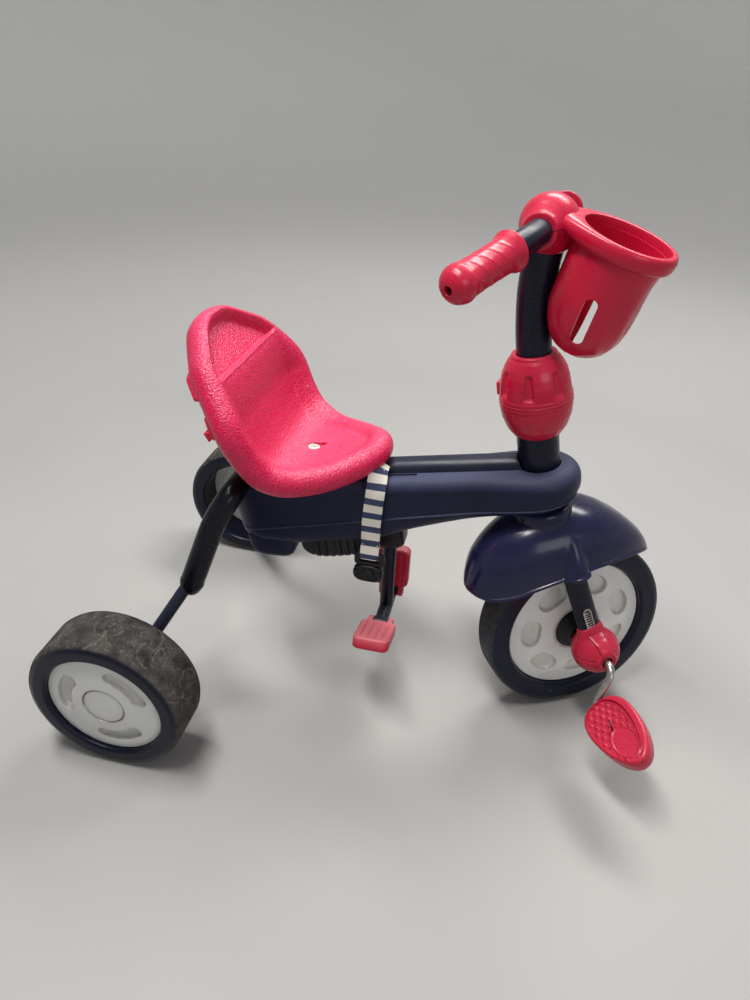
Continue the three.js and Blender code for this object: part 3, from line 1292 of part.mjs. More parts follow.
// Rings of the cup from the rim down: how far behind and below the opening in shares of the
// basket's depth, half length and half width in shares of the opening's, and tilt.
const cupRings = [
  [0.0275, 0.0367, 1 + BASKET_WALL / BASKET_RIM_HALF_LENGTH, 1 + BASKET_WALL / BASKET_RIM_HALF_WIDTH, BASKET_TILT],
  [0.1651, 0.2936, 1.0118, 1.1212, degrees(20)],
  [0.2936, 0.5688, 1.0118, 1.1212, degrees(12)],
  [0.3394, 0.8073, 0.8471, 1, degrees(5)],
  [0.3303, 0.9358, 0.6118, 0.7273, 0],
  [0.3303, 1, 0.3765, 0.4545, 0],
].map(([back, down, length, width, tilt]) => [
  BASKET_AHEAD - back * BASKET_DEPTH,
  BASKET_HEIGHT - down * BASKET_DEPTH,
  length * BASKET_RIM_HALF_LENGTH,
  width * BASKET_RIM_HALF_WIDTH,
  tilt,
]);
function cupSolid(inset) {
  const rings = cupRings.map(([x, z, halfLength, halfWidth, tilt], index) => {
    const raise = index === 0 && inset > 0 ? 12 : inset * (index > 2 ? 1 : 0.4);
    const ring = [];
    for (let step = 0; step < 16; step += 1) {
      const angle = step / 16 * Math.PI * 2;
      const along = (halfLength - inset) * Math.cos(angle);
      const side = (halfWidth - inset) * Math.sin(angle);
      ring.push(at(
        x + along * Math.cos(tilt) + raise * Math.sin(tilt),
        side,
        z - along * Math.sin(tilt) + raise * Math.cos(tilt),
      ));
    }
    return ring;
  });
  return lofted(rings);
}
const rimMatrix = new THREE.Matrix4().makeRotationY(BASKET_TILT)
  .setPosition(BASKET_AHEAD, 0, BASKET_HEIGHT);
function rimSolid(grow, open) {
  const halfLength = BASKET_RIM_HALF_LENGTH + BASKET_RIM_BAND + grow;
  const halfWidth = BASKET_RIM_HALF_WIDTH + BASKET_RIM_BAND + grow;
  const back = halfLength + 14;
  const shape = new THREE.Shape();
  shape.moveTo(0, -halfWidth);
  shape.absellipse(0, 0, halfLength, halfWidth, -Math.PI / 2, Math.PI / 2, false);
  shape.bezierCurveTo(-halfLength * 0.6, halfWidth, -back, 20 + grow, -back, 12 + grow);
  shape.lineTo(-back, -12 - grow);
  shape.bezierCurveTo(-back, -20 - grow, -halfLength * 0.6, -halfWidth, 0, -halfWidth);
  const height = BASKET_RIM_HEIGHT + 2 * grow;
  let rim = roundedPlate(shape, height, 3, 5).translate([0, 0, 4 - BASKET_RIM_HEIGHT / 2]);
  if (open) {
    const hole = solidOf(new THREE.ExtrudeGeometry(
      ellipseShape(BASKET_RIM_HALF_LENGTH, BASKET_RIM_HALF_WIDTH),
      { depth: 60, bevelEnabled: false, curveSegments: 8 },
    )).translate([0, 0, -30]);
    rim = rim.subtract(hole);
  }
  return movedBy(rim, rimMatrix);
}
const slotPath = [[0.1927, 0.4037], [0.3761, 0.8073]].map(([back, down]) => at(
  BASKET_AHEAD - back * BASKET_DEPTH,
  0,
  BASKET_HEIGHT - down * BASKET_DEPTH,
));
const slotDirection = Math.atan2(slotPath[0].x - slotPath[1].x, slotPath[0].z - slotPath[1].z);
const slotLength = slotPath[0].distanceTo(slotPath[1]);
const slotCut = solidOf(new THREE.ExtrudeGeometry(
  roundedBox(BASKET_SLOT_WIDTH, slotLength, BASKET_SLOT_WIDTH / 2 - 0.1),
  { depth: 140, bevelEnabled: false, curveSegments: 3 },
)).translate([0, 0, -70]).rotate([90, 0, 0]).rotate([0, slotDirection * 180 / Math.PI, 0])
  .translate([(slotPath[0].x + slotPath[1].x) / 2, 0, (slotPath[0].z + slotPath[1].z) / 2]);
const columnGroove = column(BASKET_BACK_CLEARANCE + BASKET_WALL);
const basket = cupSolid(0).subtract(cupSolid(BASKET_WALL).subtract(columnGroove))
  .add(rimSolid(0, true))
  .subtract(slotCut)
  .subtract(barSolid(GAP))
  .subtract(column(BASKET_BACK_CLEARANCE));
piece(handlebar, 'basket', largest(basket), redPlastic);

const hubCentre = at(HANDLEBAR_AHEAD, 0, HANDLEBAR_HEIGHT);
const hubBall = ball(HUB_COVER_RADIUS, hubCentre, 18, 10)
  .subtract(barSolid(GAP)).subtract(column(GAP))
  .subtract(rimSolid(GAP, false)).subtract(cupSolid(-GAP));
const hubTop = hubBall.trimByPlane([0, 0, 1], HANDLEBAR_HEIGHT + GAP / 2);
const hubBottom = hubBall.trimByPlane([0, 0, -1], -HANDLEBAR_HEIGHT + GAP / 2);
piece(handlebar, 'hub_cover_top', largest(hubTop), redPlastic);
piece(handlebar, 'hub_cover_bottom', largest(hubBottom), redPlastic);
piece(handlebar, 'column_tube', column(0).subtract(barSolid(GAP)), navyPaint);

// The origin lies under the middle of the footprint.
const footprint = new THREE.Box3().setFromObject(tricycle, true);
tricycle.position.x = -(footprint.min.x + footprint.max.x) / 2;

export default tricycle;
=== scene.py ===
import math

import bmesh
import bpy
import numpy as np
from mathutils import Matrix, Vector


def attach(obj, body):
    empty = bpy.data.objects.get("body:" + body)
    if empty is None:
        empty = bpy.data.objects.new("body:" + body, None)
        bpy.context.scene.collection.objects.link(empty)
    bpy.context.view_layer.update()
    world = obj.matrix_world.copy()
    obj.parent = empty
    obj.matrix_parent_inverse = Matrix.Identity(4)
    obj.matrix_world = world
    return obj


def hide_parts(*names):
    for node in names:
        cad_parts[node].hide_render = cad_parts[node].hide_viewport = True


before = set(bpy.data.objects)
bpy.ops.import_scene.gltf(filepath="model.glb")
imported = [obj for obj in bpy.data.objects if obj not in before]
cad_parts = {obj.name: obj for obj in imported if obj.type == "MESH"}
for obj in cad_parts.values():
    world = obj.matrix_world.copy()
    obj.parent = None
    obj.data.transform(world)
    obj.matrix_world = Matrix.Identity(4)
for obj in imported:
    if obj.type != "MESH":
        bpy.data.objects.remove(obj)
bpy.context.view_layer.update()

# Builders work in millimetres in the frame of the piece's own group, as the CAD does.
MM = 0.001
SHIFT = -267.4806  # from the rear axle to the frame's origin
STEER_ANGLE = 29.3
BAR_ANGLE = -16
RAKE = 11.4
HEAD_X = 443
HEAD_HEIGHT = 345.5
FORK_OFFSET = 31.3
FRONT_RADIUS = 120
TREAD_EDGE = 15  # from the middle of the front tyre to the edge that it leans on
REAR_RADIUS = 94
REAR_TRACK = 221  # from the middle to each rear wheel
SIDES = (("right", -1), ("left", 1))


# ---------------------------------------------------------------- maths


def cosd(angle):
    return math.cos(math.radians(angle))


def sind(angle):
    return math.sin(math.radians(angle))


def moved(x, y, z):
    return Matrix.Translation((x, y, z))


def turn(angle, axis):
    return Matrix.Rotation(math.radians(angle), 4, axis)


def flipped(sign, axis="Z"):
    """Half a turn on the right side, where sign is -1."""
    return turn(180 if sign < 0 else 0, axis)


def lerp(a, b, share):
    return a + (b - a) * share


def smooth(value, low, high):
    share = np.clip((value - low) / (high - low), 0, 1)
    return share * share * (3 - 2 * share)


def bell_curve(value, middle, spread):
    return np.exp(-(((value - middle) / spread) ** 2))


def circle(count):
    """Angles all the way round."""
    return np.linspace(0, 2 * math.pi, count, endpoint=False)


def softened(value, power):
    """The value to a power, with its sign kept."""
    return np.copysign(abs(value) ** power, value)


def unit(vector):
    return vector / np.linalg.norm(vector)


def spline(points, share):
    """A point on the centripetal Catmull-Rom curve through the points."""
    points = np.asarray(points, float)
    count = len(points)
    place = (count - 1) * min(max(share, 0), 1)
    index = min(int(place), count - 2)
    t = place - index
    b, c = points[index], points[index + 1]
    a = points[index - 1] if index > 0 else 2 * b - c
    d = points[index + 2] if index + 2 < count else 2 * c - b
    gaps = [max(np.sum((q - p) ** 2) ** 0.25, 1e-6) for p, q in ((a, b), (b, c), (c, d))]
    start = (b - a) / gaps[0] - (c - a) / (gaps[0] + gaps[1]) + (c - b) / gaps[1]
    end = (c - b) / gaps[1] - (d - b) / (gaps[1] + gaps[2]) + (d - c) / gaps[2]
    start, end = start * gaps[1], end * gaps[1]
    rest = (-3 * b + 3 * c - 2 * start - end) * t**2 + (2 * b - 2 * c + start + end) * t**3
    return b + start * t + rest


def along(points, count):
    return np.array([spline(points, i / (count - 1)) for i in range(count)])


def bezier(*corners, steps=20):
    a, b, c, d = (np.array(p) for p in corners)
    curve = []
    for t in np.linspace(0, 1, steps, endpoint=False):
        curve.append((1 - t) ** 3 * a + 3 * t * (1 - t) ** 2 * b + 3 * t * t * (1 - t) * c + t**3 * d)
    return curve


def lengths_along(points):
    """How far along the line each of its points is."""
    steps = np.linalg.norm(np.diff(points, axis=0), axis=1)
    return np.concatenate([[0], np.cumsum(steps)])


def rounded_path(points, reach, steps=8, closed=False):
    """The points with each corner replaced by a curve that starts this far from it."""
    points = [np.asarray(p, float) for p in points]
    count = len(points)
    out = []
    for i, corner in enumerate(points):
        before, after = points[i - 1] - corner, points[(i + 1) % count] - corner
        wanted = reach[i] if isinstance(reach, (list, tuple)) else reach
        start_back = min(wanted, 0.49 * min(np.linalg.norm(before), np.linalg.norm(after)))
        if start_back < 1e-4 or not closed and i in (0, count - 1):
            out.append(corner)
            continue
        start, end = corner + unit(before) * start_back, corner + unit(after) * start_back
        for t in np.arange(steps + 1) / steps:
            out.append((1 - t) ** 2 * start + 2 * t * (1 - t) * corner + t * t * end)
    return out


def rounded_box(length, width, corner, steps=8):
    """The outline of a rectangle with round corners."""
    points = []
    for sx, sy, start in ((1, 1, 0), (-1, 1, 90), (-1, -1, 180), (1, -1, 270)):
        for step in range(steps + 1):
            angle = start + 90 * step / steps
            x, y = sx * (length / 2 - corner), sy * (width / 2 - corner)
            points.append((x + corner * cosd(angle), y + corner * sind(angle)))
    return np.array(points)


def resampled(outline, count):
    """A closed outline as evenly spaced points."""
    ring = np.vstack([outline, outline[:1]])
    places = lengths_along(ring)
    wanted = np.linspace(0, places[-1], count, endpoint=False)
    return np.stack([np.interp(wanted, places, ring[:, k]) for k in (0, 1)], 1)


WORLD = moved(SHIFT, 0, 0)
RAKED = WORLD @ moved(HEAD_X, 0, HEAD_HEIGHT) @ turn(-RAKE, "Y")
FORK = RAKED @ turn(STEER_ANGLE, "Z")
BAR = RAKED @ turn(BAR_ANGLE, "Z")
# the front axle's depth under the head point puts the leaning wheel on the ground
WHEEL_LEAN = sind(STEER_ANGLE) * sind(RAKE)
FORK_DROP = (
    HEAD_HEIGHT
    + FORK_OFFSET * cosd(STEER_ANGLE) * sind(RAKE)
    - FRONT_RADIUS * math.sqrt(1 - WHEEL_LEAN**2)
    - TREAD_EDGE * abs(WHEEL_LEAN)
) / cosd(RAKE)
FRONT_WHEEL = FORK @ moved(FORK_OFFSET, 0, -FORK_DROP)


# ---------------------------------------------------------------- meshes


def shade(mesh, sharp):
    mesh.shade_smooth()
    mesh.set_sharp_from_angle(angle=math.radians(sharp))


def build(verts, faces, matrix, sharp=38, close=True):
    """A mesh object in the row frame, in metres, from points in millimetres."""
    verts = np.asarray(verts, float).reshape(-1, 3)
    turned_by = np.array(matrix, float)
    placed = (verts @ turned_by[:3, :3].T + turned_by[:3, 3]) * MM
    mesh = bpy.data.meshes.new("piece")
    mesh.from_pydata(placed.tolist(), [], faces)
    if close:
        shape = bmesh.new()
        shape.from_mesh(mesh)
        bmesh.ops.remove_doubles(shape, verts=shape.verts, dist=2e-6)
        bmesh.ops.recalc_face_normals(shape, faces=shape.faces)
        if shape.calc_volume(signed=True) < 0:
            bmesh.ops.reverse_faces(shape, faces=shape.faces)
        shape.to_mesh(mesh)
        shape.free()
    shade(mesh, sharp)
    thing = bpy.data.objects.new("piece", mesh)
    bpy.context.scene.collection.objects.link(thing)
    return thing


def settle(thing, sharp=38):
    """Applies the modifiers."""
    bpy.context.view_layer.update()
    graph = bpy.context.evaluated_depsgraph_get()
    mesh = bpy.data.meshes.new_from_object(thing.evaluated_get(graph))
    thing.modifiers.clear()
    old = thing.data
    thing.data = mesh
    bpy.data.meshes.remove(old)
    shade(mesh, sharp)
    return thing


def cut(thing, cutters, sharp=38):
    for cutter in cutters:
        modifier = thing.modifiers.new("cut", "BOOLEAN")
        modifier.operation = "DIFFERENCE"
        modifier.solver = "EXACT"
        modifier.object = cutter
    settle(thing, sharp)
    for cutter in cutters:
        bpy.data.objects.remove(cutter)
    return thing


def bevelled(thing, width, segments=3, angle=35):
    modifier = thing.modifiers.new("bevel", "BEVEL")
    modifier.width = width * MM
    modifier.segments = segments
    modifier.limit_method = "ANGLE"
    modifier.angle_limit = math.radians(angle)
    modifier.use_clamp_overlap = True
    return settle(thing)


def joined(things):
    """One object of several."""
    shape = bmesh.new()
    for thing in things:
        shape.from_mesh(thing.data)
    mesh = bpy.data.meshes.new("joined")
    shape.to_mesh(mesh)
    shape.free()
    shade(mesh, 38)
    things[0].data = mesh
    for thing in things[1:]:
        bpy.data.objects.remove(thing)
    return things[0]


def skin_faces(rows, count, wrap_rows=True, wrap_columns=False):
    """Quads of a grid of points, with rows of count points."""
    faces = []
    for row in range(rows if wrap_columns else rows - 1):
        here, there = row * count, (row + 1) % rows * count
        for i in range(count if wrap_rows else count - 1):
            j = (i + 1) % count
            faces.append((here + i, here + j, there + j, there + i))
    return faces


def loft(rows, matrix, closed=False, sharp=38):
    """A skin through closed rings of points, with flat ends unless the rings close up."""
    rows = np.asarray(rows, float)
    number, count = rows.shape[:2]
    faces = skin_faces(number, count, True, closed)
    if not closed:
        faces.append(tuple(reversed(range(count))))
        faces.append(tuple(range((number - 1) * count, number * count)))
    return build(rows, faces, matrix, sharp)


def tube(points, radius, matrix, reach=0, sides=32, steps=8, ends=1.0, sharp=38):
    """A round bar along the points. A radius may be a list, or a pair for an oval section."""
    path = rounded_path(points, reach, steps)
    count = len(path)
    tangents = [unit(path[min(i + 1, count - 1)] - path[max(i - 1, 0)]) for i in range(count)]
    guide = (0, 0, 1.0) if abs(tangents[0][2]) < 0.9 else (1.0, 0, 0)
    normal = unit(np.cross(tangents[0], guide))
    rows, angles = [], circle(sides)[:, None]
    for i, (place, tangent) in enumerate(zip(path, tangents)):
        normal = unit(normal - tangent * normal.dot(tangent))
        size = radius[i] if isinstance(radius, list) else radius
        a, b = size if isinstance(size, tuple) else (size, size)
        rows.append(place + a * np.cos(angles) * normal + b * np.sin(angles) * np.cross(tangent, normal))
    if ends:
        first, last = rows[0], rows[-1]
        near_end = 1 - ends / 8
        start, finish = lerp(path[0], first, near_end), lerp(path[-1], last, near_end)
        rows = [start, first + tangents[0] * ends, *rows[1:-1], last - tangents[-1] * ends, finish]
    return loft(rows, matrix, sharp=sharp)


def lathe(profile, matrix, axis="Z", segments=64, corner=0.8, change=None, sharp=38, dense=0):
    """A profile of (radius, height) pairs turned about an axis, and closed up unless it starts and ends
    on the axis. change(radii, heights, angles) gives new radii and heights. Dense is the longest step."""
    profile = [np.asarray(p, float) for p in profile]
    closed = profile[0][0] > 1e-6 or profile[-1][0] > 1e-6
    if corner:
        profile = rounded_path(profile, corner, 3, closed)
    if dense:
        first, last = profile[:1], profile[-1:]
        fine = []
        for here, there in zip(profile, profile[1:] + (first if closed else [])):
            parts = max(1, int(np.linalg.norm(there - here) / dense))
            fine.extend(lerp(here, there, k / parts) for k in range(parts))
        profile = fine if closed else fine + last
    angles = circle(segments)
    rows = []
    for radius, height in profile:
        radii, heights = np.full(segments, radius), np.full(segments, height)
        if change:
            radii, heights = change(radii, heights, angles)
        x, y = radii * np.cos(angles), radii * np.sin(angles)
        rows.append(np.stack([x, y, heights] if axis == "Z" else [x, heights, -y], 1))
    return build(rows, skin_faces(len(rows), segments, True, closed), matrix, sharp)


def plug(radius, low, high, matrix, axis="Z", segments=64):
    """A plain round bar, to cut a hole with."""
    profile = [(0, low), (radius, low), (radius, high), (0, high)]
    return lathe(profile, matrix, axis, segments, 0)


def plate(
    outline, thickness, bevel, matrix, top=None, bottom=None, rings=1, count=120, centre=(0, 0), sharp=38,
):
    """A slab with this outline and rounded edges, centred on Z = 0. top(x, y, share) and
    bottom(x, y, share) add to the heights of its faces; share is 0 at the middle, 1 at the edge."""
    outline = resampled(outline, count)
    middle = np.array(centre, float)
    normals = np.roll(outline, -1, 0) - np.roll(outline, 1, 0)
    normals = np.stack([normals[:, 1], -normals[:, 0]], 1)
    normals /= np.linalg.norm(normals, axis=1)[:, None]
    if np.mean(np.sum(normals * (outline - middle), 1)) < 0:
        normals = -normals
    half = thickness / 2
    inner = outline - normals * bevel

    def face(height, change):
        rows = []
        for share in np.linspace(0.02, 1, rings + 1):
            flat = middle + (inner - middle) * share
            lift = change(flat[:, 0], flat[:, 1], share) if change else np.zeros(count)
            rows.append(np.column_stack([flat, height + lift]))
        return rows

    rows = face(half, top)
    for up in (1, -1):
        for angle in (18, 36, 54, 72)[::up]:
            ring = inner + normals * bevel * sind(angle)
            height = up * (half - bevel + bevel * cosd(angle))
            rows.append(np.column_stack([ring, np.full(count, height)]))
    rows.extend(reversed(face(-half, bottom)))
    return loft(rows, matrix, sharp=sharp)


def box(size, matrix, bevel=0.8):
    x, y, z = (s / 2 for s in size)
    corners = [(i, j, k) for i in (-x, x) for j in (-y, y) for k in (-z, z)]
    faces = [(0, 1, 3, 2), (4, 6, 7, 5), (0, 4, 5, 1), (2, 3, 7, 6), (0, 2, 6, 4), (1, 5, 7, 3)]
    thing = build(corners, faces, matrix)
    return bevelled(thing, bevel) if bevel else thing


def mark(thing, name, values):
    """Stores a value at each point, for the materials."""
    layer = thing.data.attributes.new(name, "FLOAT", "POINT")
    layer.data.foreach_set("value", np.asarray(values, np.float32))


def wear_and_highlight(thing, values):
    """Stores how worn or dirty each point is, or one value for all of them. On the cover's seam bead the
    mark is a painted highlight, not wear.
    """
    mark(thing, "wear_and_highlight", np.broadcast_to(values, len(thing.data.vertices)))


def local_points(thing, matrix):
    """The points in millimetres in a group's own frame."""
    flat = np.zeros(len(thing.data.vertices) * 3, np.float32)
    thing.data.vertices.foreach_get("co", flat)
    back = np.array(matrix.inverted(), float)
    return (flat.reshape(-1, 3).astype(float) / MM) @ back[:3, :3].T + back[:3, 3]


def wheel_points(thing, matrix):
    """Each point of a wheel's piece as place across, up and along the axle, and distance from it."""
    local = local_points(thing, matrix)
    return local[:, 0], -local[:, 2], local[:, 1], np.hypot(local[:, 0], local[:, 2])


def show(thing, node, look, body="tricycle_frame", name=None):
    """Gives a finished piece its name, its material and its body, and hides the CAD node that it stands
    for.
    """
    material, slot = look
    thing.name = thing.data.name = name or f"{node}_shown"
    thing.data.materials.clear()
    thing.data.materials.append(material)
    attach(thing, body)
    if node:
        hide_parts(node)
    return thing


# ---------------------------------------------------------------- materials


class Look:
    """A procedural material, built from named nodes, and the slot that it belongs to."""

    def __init__(self, name, slot=None):
        self.slot = slot or name
        self.material = bpy.data.materials.new(name)
        self.material.use_nodes = True
        self.tree = self.material.node_tree
        self.tree.nodes.clear()
        output = self.tree.nodes.new("ShaderNodeOutputMaterial")
        self.shader = self.tree.nodes.new("ShaderNodeBsdfPrincipled")
        self.tree.links.new(self.shader.outputs["BSDF"], output.inputs["Surface"])
        self.place = self.node("TexCoord", "Object")
        normal = self.place.node.outputs["Normal"]
        self.level = self.node("SeparateXYZ", "Z", {0: normal})  # 1 where the surface faces up

    def put(self, socket, value):
        if isinstance(value, bpy.types.NodeSocket):
            self.tree.links.new(value, socket)
        elif socket.type == "RGBA":
            socket.default_value = (*value, 1)
        else:
            socket.default_value = value

    def node(self, kind, output, inputs=(), **settings):
        """A new node's output. The inputs are a dict by name or number."""
        made = self.tree.nodes.new("ShaderNode" + kind)
        for key, value in settings.items():
            setattr(made, key, value)
        for key, value in dict(inputs).items():
            self.put(made.inputs[key], value)
        return made.outputs[output]

    def noise(self, scale, detail=3, rough=0.55):
        inputs = {"Vector": self.place, "Scale": scale, "Detail": detail, "Roughness": rough}
        return self.node("TexNoise", "Fac", inputs)

    def cells(self, scale, feature="F1", output="Distance"):
        return self.node("TexVoronoi", output, {"Vector": self.place, "Scale": scale}, feature=feature)

    def range(self, value, low, high, to_low=0.0, to_high=1.0):
        limits = {"From Min": low, "From Max": high, "To Min": to_low, "To Max": to_high}
        return self.node("MapRange", "Result", {"Value": value, **limits}, clamp=True)

    def spots(self, scale, detail, low, high, rough=0.55, to_low=0.0, to_high=1.0):
        """Noise, spread over a range."""
        return self.range(self.noise(scale, detail, rough), low, high, to_low, to_high)

    def math(self, operation, a, b=0.0):
        return self.node("Math", 0, {0: a, 1: b}, operation=operation)

    def times(self, a, b):
        return self.math("MULTIPLY", a, b)

    def plus(self, a, b):
        return self.math("ADD", a, b)

    def mix(self, share, a, b):
        return self.node("Mix", 2, {0: share, 6: a, 7: b}, data_type="RGBA")

    def over(self, base, colour, share, amount):
        """The base with this amount of the colour over it, where the share says."""
        return self.mix(self.times(share, amount), base, colour)

    def attribute(self, name):
        return self.node("Attribute", "Fac", attribute_name=name)

    def bump(self, height, strength, distance=0.001, after=None):
        inputs = {"Height": height, "Strength": strength, "Distance": distance}
        return self.node("Bump", "Normal", {**inputs, "Normal": after} if after else inputs)

    def finish(self, colour, rough, normal, **numbers):
        inputs = {"Base_Color": colour, "Roughness": rough, "Normal": normal, **numbers}
        for key, value in inputs.items():
            self.put(self.shader.inputs[key.replace("_", " ")], value)
        return self.material, self.slot


def shades(colour, *factors):
    return [tuple(min(c * factor, 1) for c in colour) for factor in factors]


def moulded(
    name, colour, rough, coat=0.0, dust_and_sheen=0.12, grain=0.05, dust_and_sheen_colour=(0.32, 0.31, 0.3), vary=0.1,
    shine_level=0.3, top_dust_and_sheen=0.0, slot=None,
):
    """Moulded plastic or paint: faint mottling, fine scuffs, dust in patches, dust and a painted sheen that
    make upward faces paler, a painted highlight where points are marked, and a fine grain.
    """
    look = Look(name, slot)
    broad = look.spots(14, 4, 0.3, 0.7)
    lighter = tuple(min(c * (1 + vary) + 0.002, 1) for c in colour)
    base = look.mix(broad, *shades(colour, 1 - vary), lighter)
    fine = look.noise(900)
    patches = look.times(look.spots(9, 5, 0.42, 0.75, 0.6), look.range(fine, 0.45, 0.62))
    base = look.over(base, dust_and_sheen_colour, patches, dust_and_sheen)
    # dust and painted sheen: upward faces turn towards the dust colour, a paler haze that stands for
    # settled dust and for the ceiling lamps' sheen
    settled_and_sheen = look.times(look.range(look.level, 0.1, 0.95), look.range(fine, 0.3, 0.7, 0.6, 1))
    base = look.over(base, dust_and_sheen_colour, settled_and_sheen, top_dust_and_sheen)
    # painted highlight: marked points turn paler; only the cover's seam bead is marked, so that it reads as
    # a pale line
    painted_highlight_colour = tuple(lerp(a, b, 0.45) for a, b in zip(colour, dust_and_sheen_colour))
    base = look.over(base, painted_highlight_colour, look.attribute("wear_and_highlight"), look.spots(260, 4, 0.25, 0.65, 0.7))
    scuffs = look.spots(120, 6, 0.55, 0.75, 0.75)
    shine = look.plus(look.range(broad, 0, 1, rough * 0.85, rough * 1.1), look.times(scuffs, 0.12))
    shine = look.plus(shine, look.times(patches, 0.18))
    shine = look.plus(shine, look.times(settled_and_sheen, top_dust_and_sheen * 0.5))
    normal = look.bump(look.noise(45, 2), 0.02, 0.002, look.bump(fine, grain, 0.0004))
    coating = {"Coat_Weight": coat, "Coat_Roughness": 0.12}
    return look.finish(base, shine, normal, **coating, Specular_IOR_Level=shine_level)


def pebbled(name, colour, rough):
    """Seat plastic with a raised pebble grain that glints where the light grazes it, painted shade between
    the pebbles and a painted pink sheen on its upward faces.
    """
    look = Look(name)
    pebbles = look.cells(540, "SMOOTH_F1")
    base = look.mix(look.spots(10, 3, 0.3, 0.7), *shades(colour, 0.92, 1.05))
    # painted shade: the gaps between the pebbles are darker
    base = look.over(base, *shades(colour, 0.5), look.range(pebbles, 0.3, 0.62), 0.55)
    # painted sheen: upward faces of the seat turn a paler pink, in patches
    dust_and_sheen = look.spots(30, 6, 0.2, 0.7, 0.7, 0.1, 0.26)
    base = look.over(base, (0.9, 0.26, 0.46), look.range(look.level, 0.45, 1), dust_and_sheen)
    shine = look.spots(500, 2, 0.3, 0.7, 0.55, rough * 0.8, rough * 1.2)
    normal = look.bump(look.cells(1150), 0.3, -0.0005, look.bump(pebbles, 0.85, -0.0012))
    return look.finish(base, shine, normal, Specular_IOR_Level=0.45)


def steel_look(name, colour, rough, stain=0.35):
    """Dull plated steel with brown stains."""
    look = Look(name)
    stains = look.spots(60, 6, 0.5, 0.75, 0.7)
    base = look.over(colour, (0.28, 0.22, 0.17), stains, stain)
    streaks = look.noise(700, 2)
    shine = look.plus(look.range(streaks, 0.3, 0.7, rough * 0.8, rough * 1.3), look.times(stains, 0.25))
    return look.finish(base, shine, look.bump(streaks, 0.05, 0.0003), Metallic=0.9)


def worn_tread(name):
    """Hard tyre plastic: navy under the side, scraped grey brown on the tread."""
    look = Look(name)
    coarse = look.noise(55, 8, 0.75)
    grit = look.noise(520, 5, 0.8)
    scraped = look.mix(look.range(coarse, 0.36, 0.68), (0.02, 0.019, 0.019), (0.095, 0.086, 0.078))
    scraped = look.over(scraped, (0.012, 0.012, 0.013), look.spots(900, 3, 0.46, 0.62, 0.8), 0.4)
    pale = look.times(look.range(grit, 0.58, 0.66), look.range(coarse, 0.42, 0.58))
    scraped = look.over(scraped, (0.45, 0.43, 0.39), pale, 0.85)
    dusty = look.times(look.attribute("wear_and_highlight"), look.spots(220, 4, 0.36, 0.6, 0.7))
    scraped = look.over(scraped, (0.2, 0.18, 0.155), dusty, 0.62)
    side = look.mix(look.spots(40, 5, 0.45, 0.75, 0.7), (0.004, 0.0052, 0.016), (0.007, 0.0088, 0.025))
    side = look.over(side, (0.13, 0.14, 0.17), look.range(grit, 0.66, 0.76), 0.2)
    on_top = look.range(look.attribute("tread"), 0.2, 0.75)
    edge = look.times(on_top, look.range(coarse, 0.25, 0.5, 0.75, 1.0))
    normal = look.bump(coarse, 0.25, 0.0015, look.bump(grit, 0.35, 0.0007))
    shine = look.range(edge, 0, 1, 0.26, 0.8)
    return look.finish(look.mix(edge, side, scraped), shine, normal, Specular_IOR_Level=0.24)


def speckled(name, colour, rough):
    """Navy plastic with sparse blue flakes in it, scraped on the tread."""
    look = Look(name)
    chosen = look.range(look.cells(85, output="Color"), 0.78, 0.8)
    spark = look.times(look.range(look.cells(85), 0.1, 0.2, 1, 0), chosen)
    grit = look.noise(480, 5, 0.8)
    base = look.mix(look.spots(20, 4, 0.35, 0.7), colour, *shades(colour, 1.5))
    base = look.over(base, (0.01, 0.09, 0.42), spark, 0.7)
    scraped = look.mix(look.spots(70, 7, 0.4, 0.65, 0.75), (0.018, 0.019, 0.03), (0.06, 0.057, 0.06))
    scraped = look.over(scraped, (0.2, 0.19, 0.18), look.range(grit, 0.62, 0.74), 0.4)
    scraped = look.over(scraped, (0.12, 0.11, 0.1), look.attribute("wear_and_highlight"), 0.35)
    on_top = look.range(look.attribute("tread"), 0.3, 0.8)
    worn = look.times(on_top, look.spots(30, 4, 0.3, 0.55, 0.55, 0.6, 1))
    shine = look.range(worn, 0, 1, rough, 0.62)
    bumps = look.bump(grit, 0.12, 0.0004)
    return look.finish(look.mix(worn, base, scraped), shine, bumps, Specular_IOR_Level=0.26)


def webbing_look(name, stripe_pitch):
    """Cotton webbing with cream and navy bands woven across it."""
    look = Look(name)
    run = look.attribute("run")  # length along the strap in metres
    across = look.attribute("across")
    waver = look.times(look.math("SUBTRACT", look.noise(90, 2), 0.5), 0.0008)
    phase = look.math("FRACT", look.math("DIVIDE", look.plus(run, waver), stripe_pitch))
    band = look.times(look.range(phase, 0.53, 0.56), look.range(phase, 0.97, 1.0, 1, 0))
    twill = look.plus(look.times(run, 1500), look.times(across, 1100))
    weave = look.math("ABSOLUTE", look.math("SINE", twill))
    threads = look.math("ABSOLUTE", look.math("SINE", look.times(across, 4200)))
    cream = look.mix(look.noise(160, 4), (0.72, 0.67, 0.59), (0.86, 0.83, 0.76))
    navy = look.mix(weave, (0.012, 0.02, 0.07), (0.03, 0.05, 0.13))
    bands = look.mix(band, cream, navy)
    base = look.over(bands, (0.2, 0.18, 0.16), look.range(threads, 0.0, 0.25, 1, 0), 0.3)
    base = look.over(base, (0.3, 0.26, 0.2), look.spots(70, 5, 0.5, 0.75, 0.7), 0.15)
    normal = look.bump(threads, 0.5, 0.0004, look.bump(weave, 0.5, 0.0004))
    shine = look.range(weave, 0, 1, 0.95, 0.8)
    return look.finish(base, shine, normal, Sheen_Weight=0.25, Sheen_Roughness=0.4)


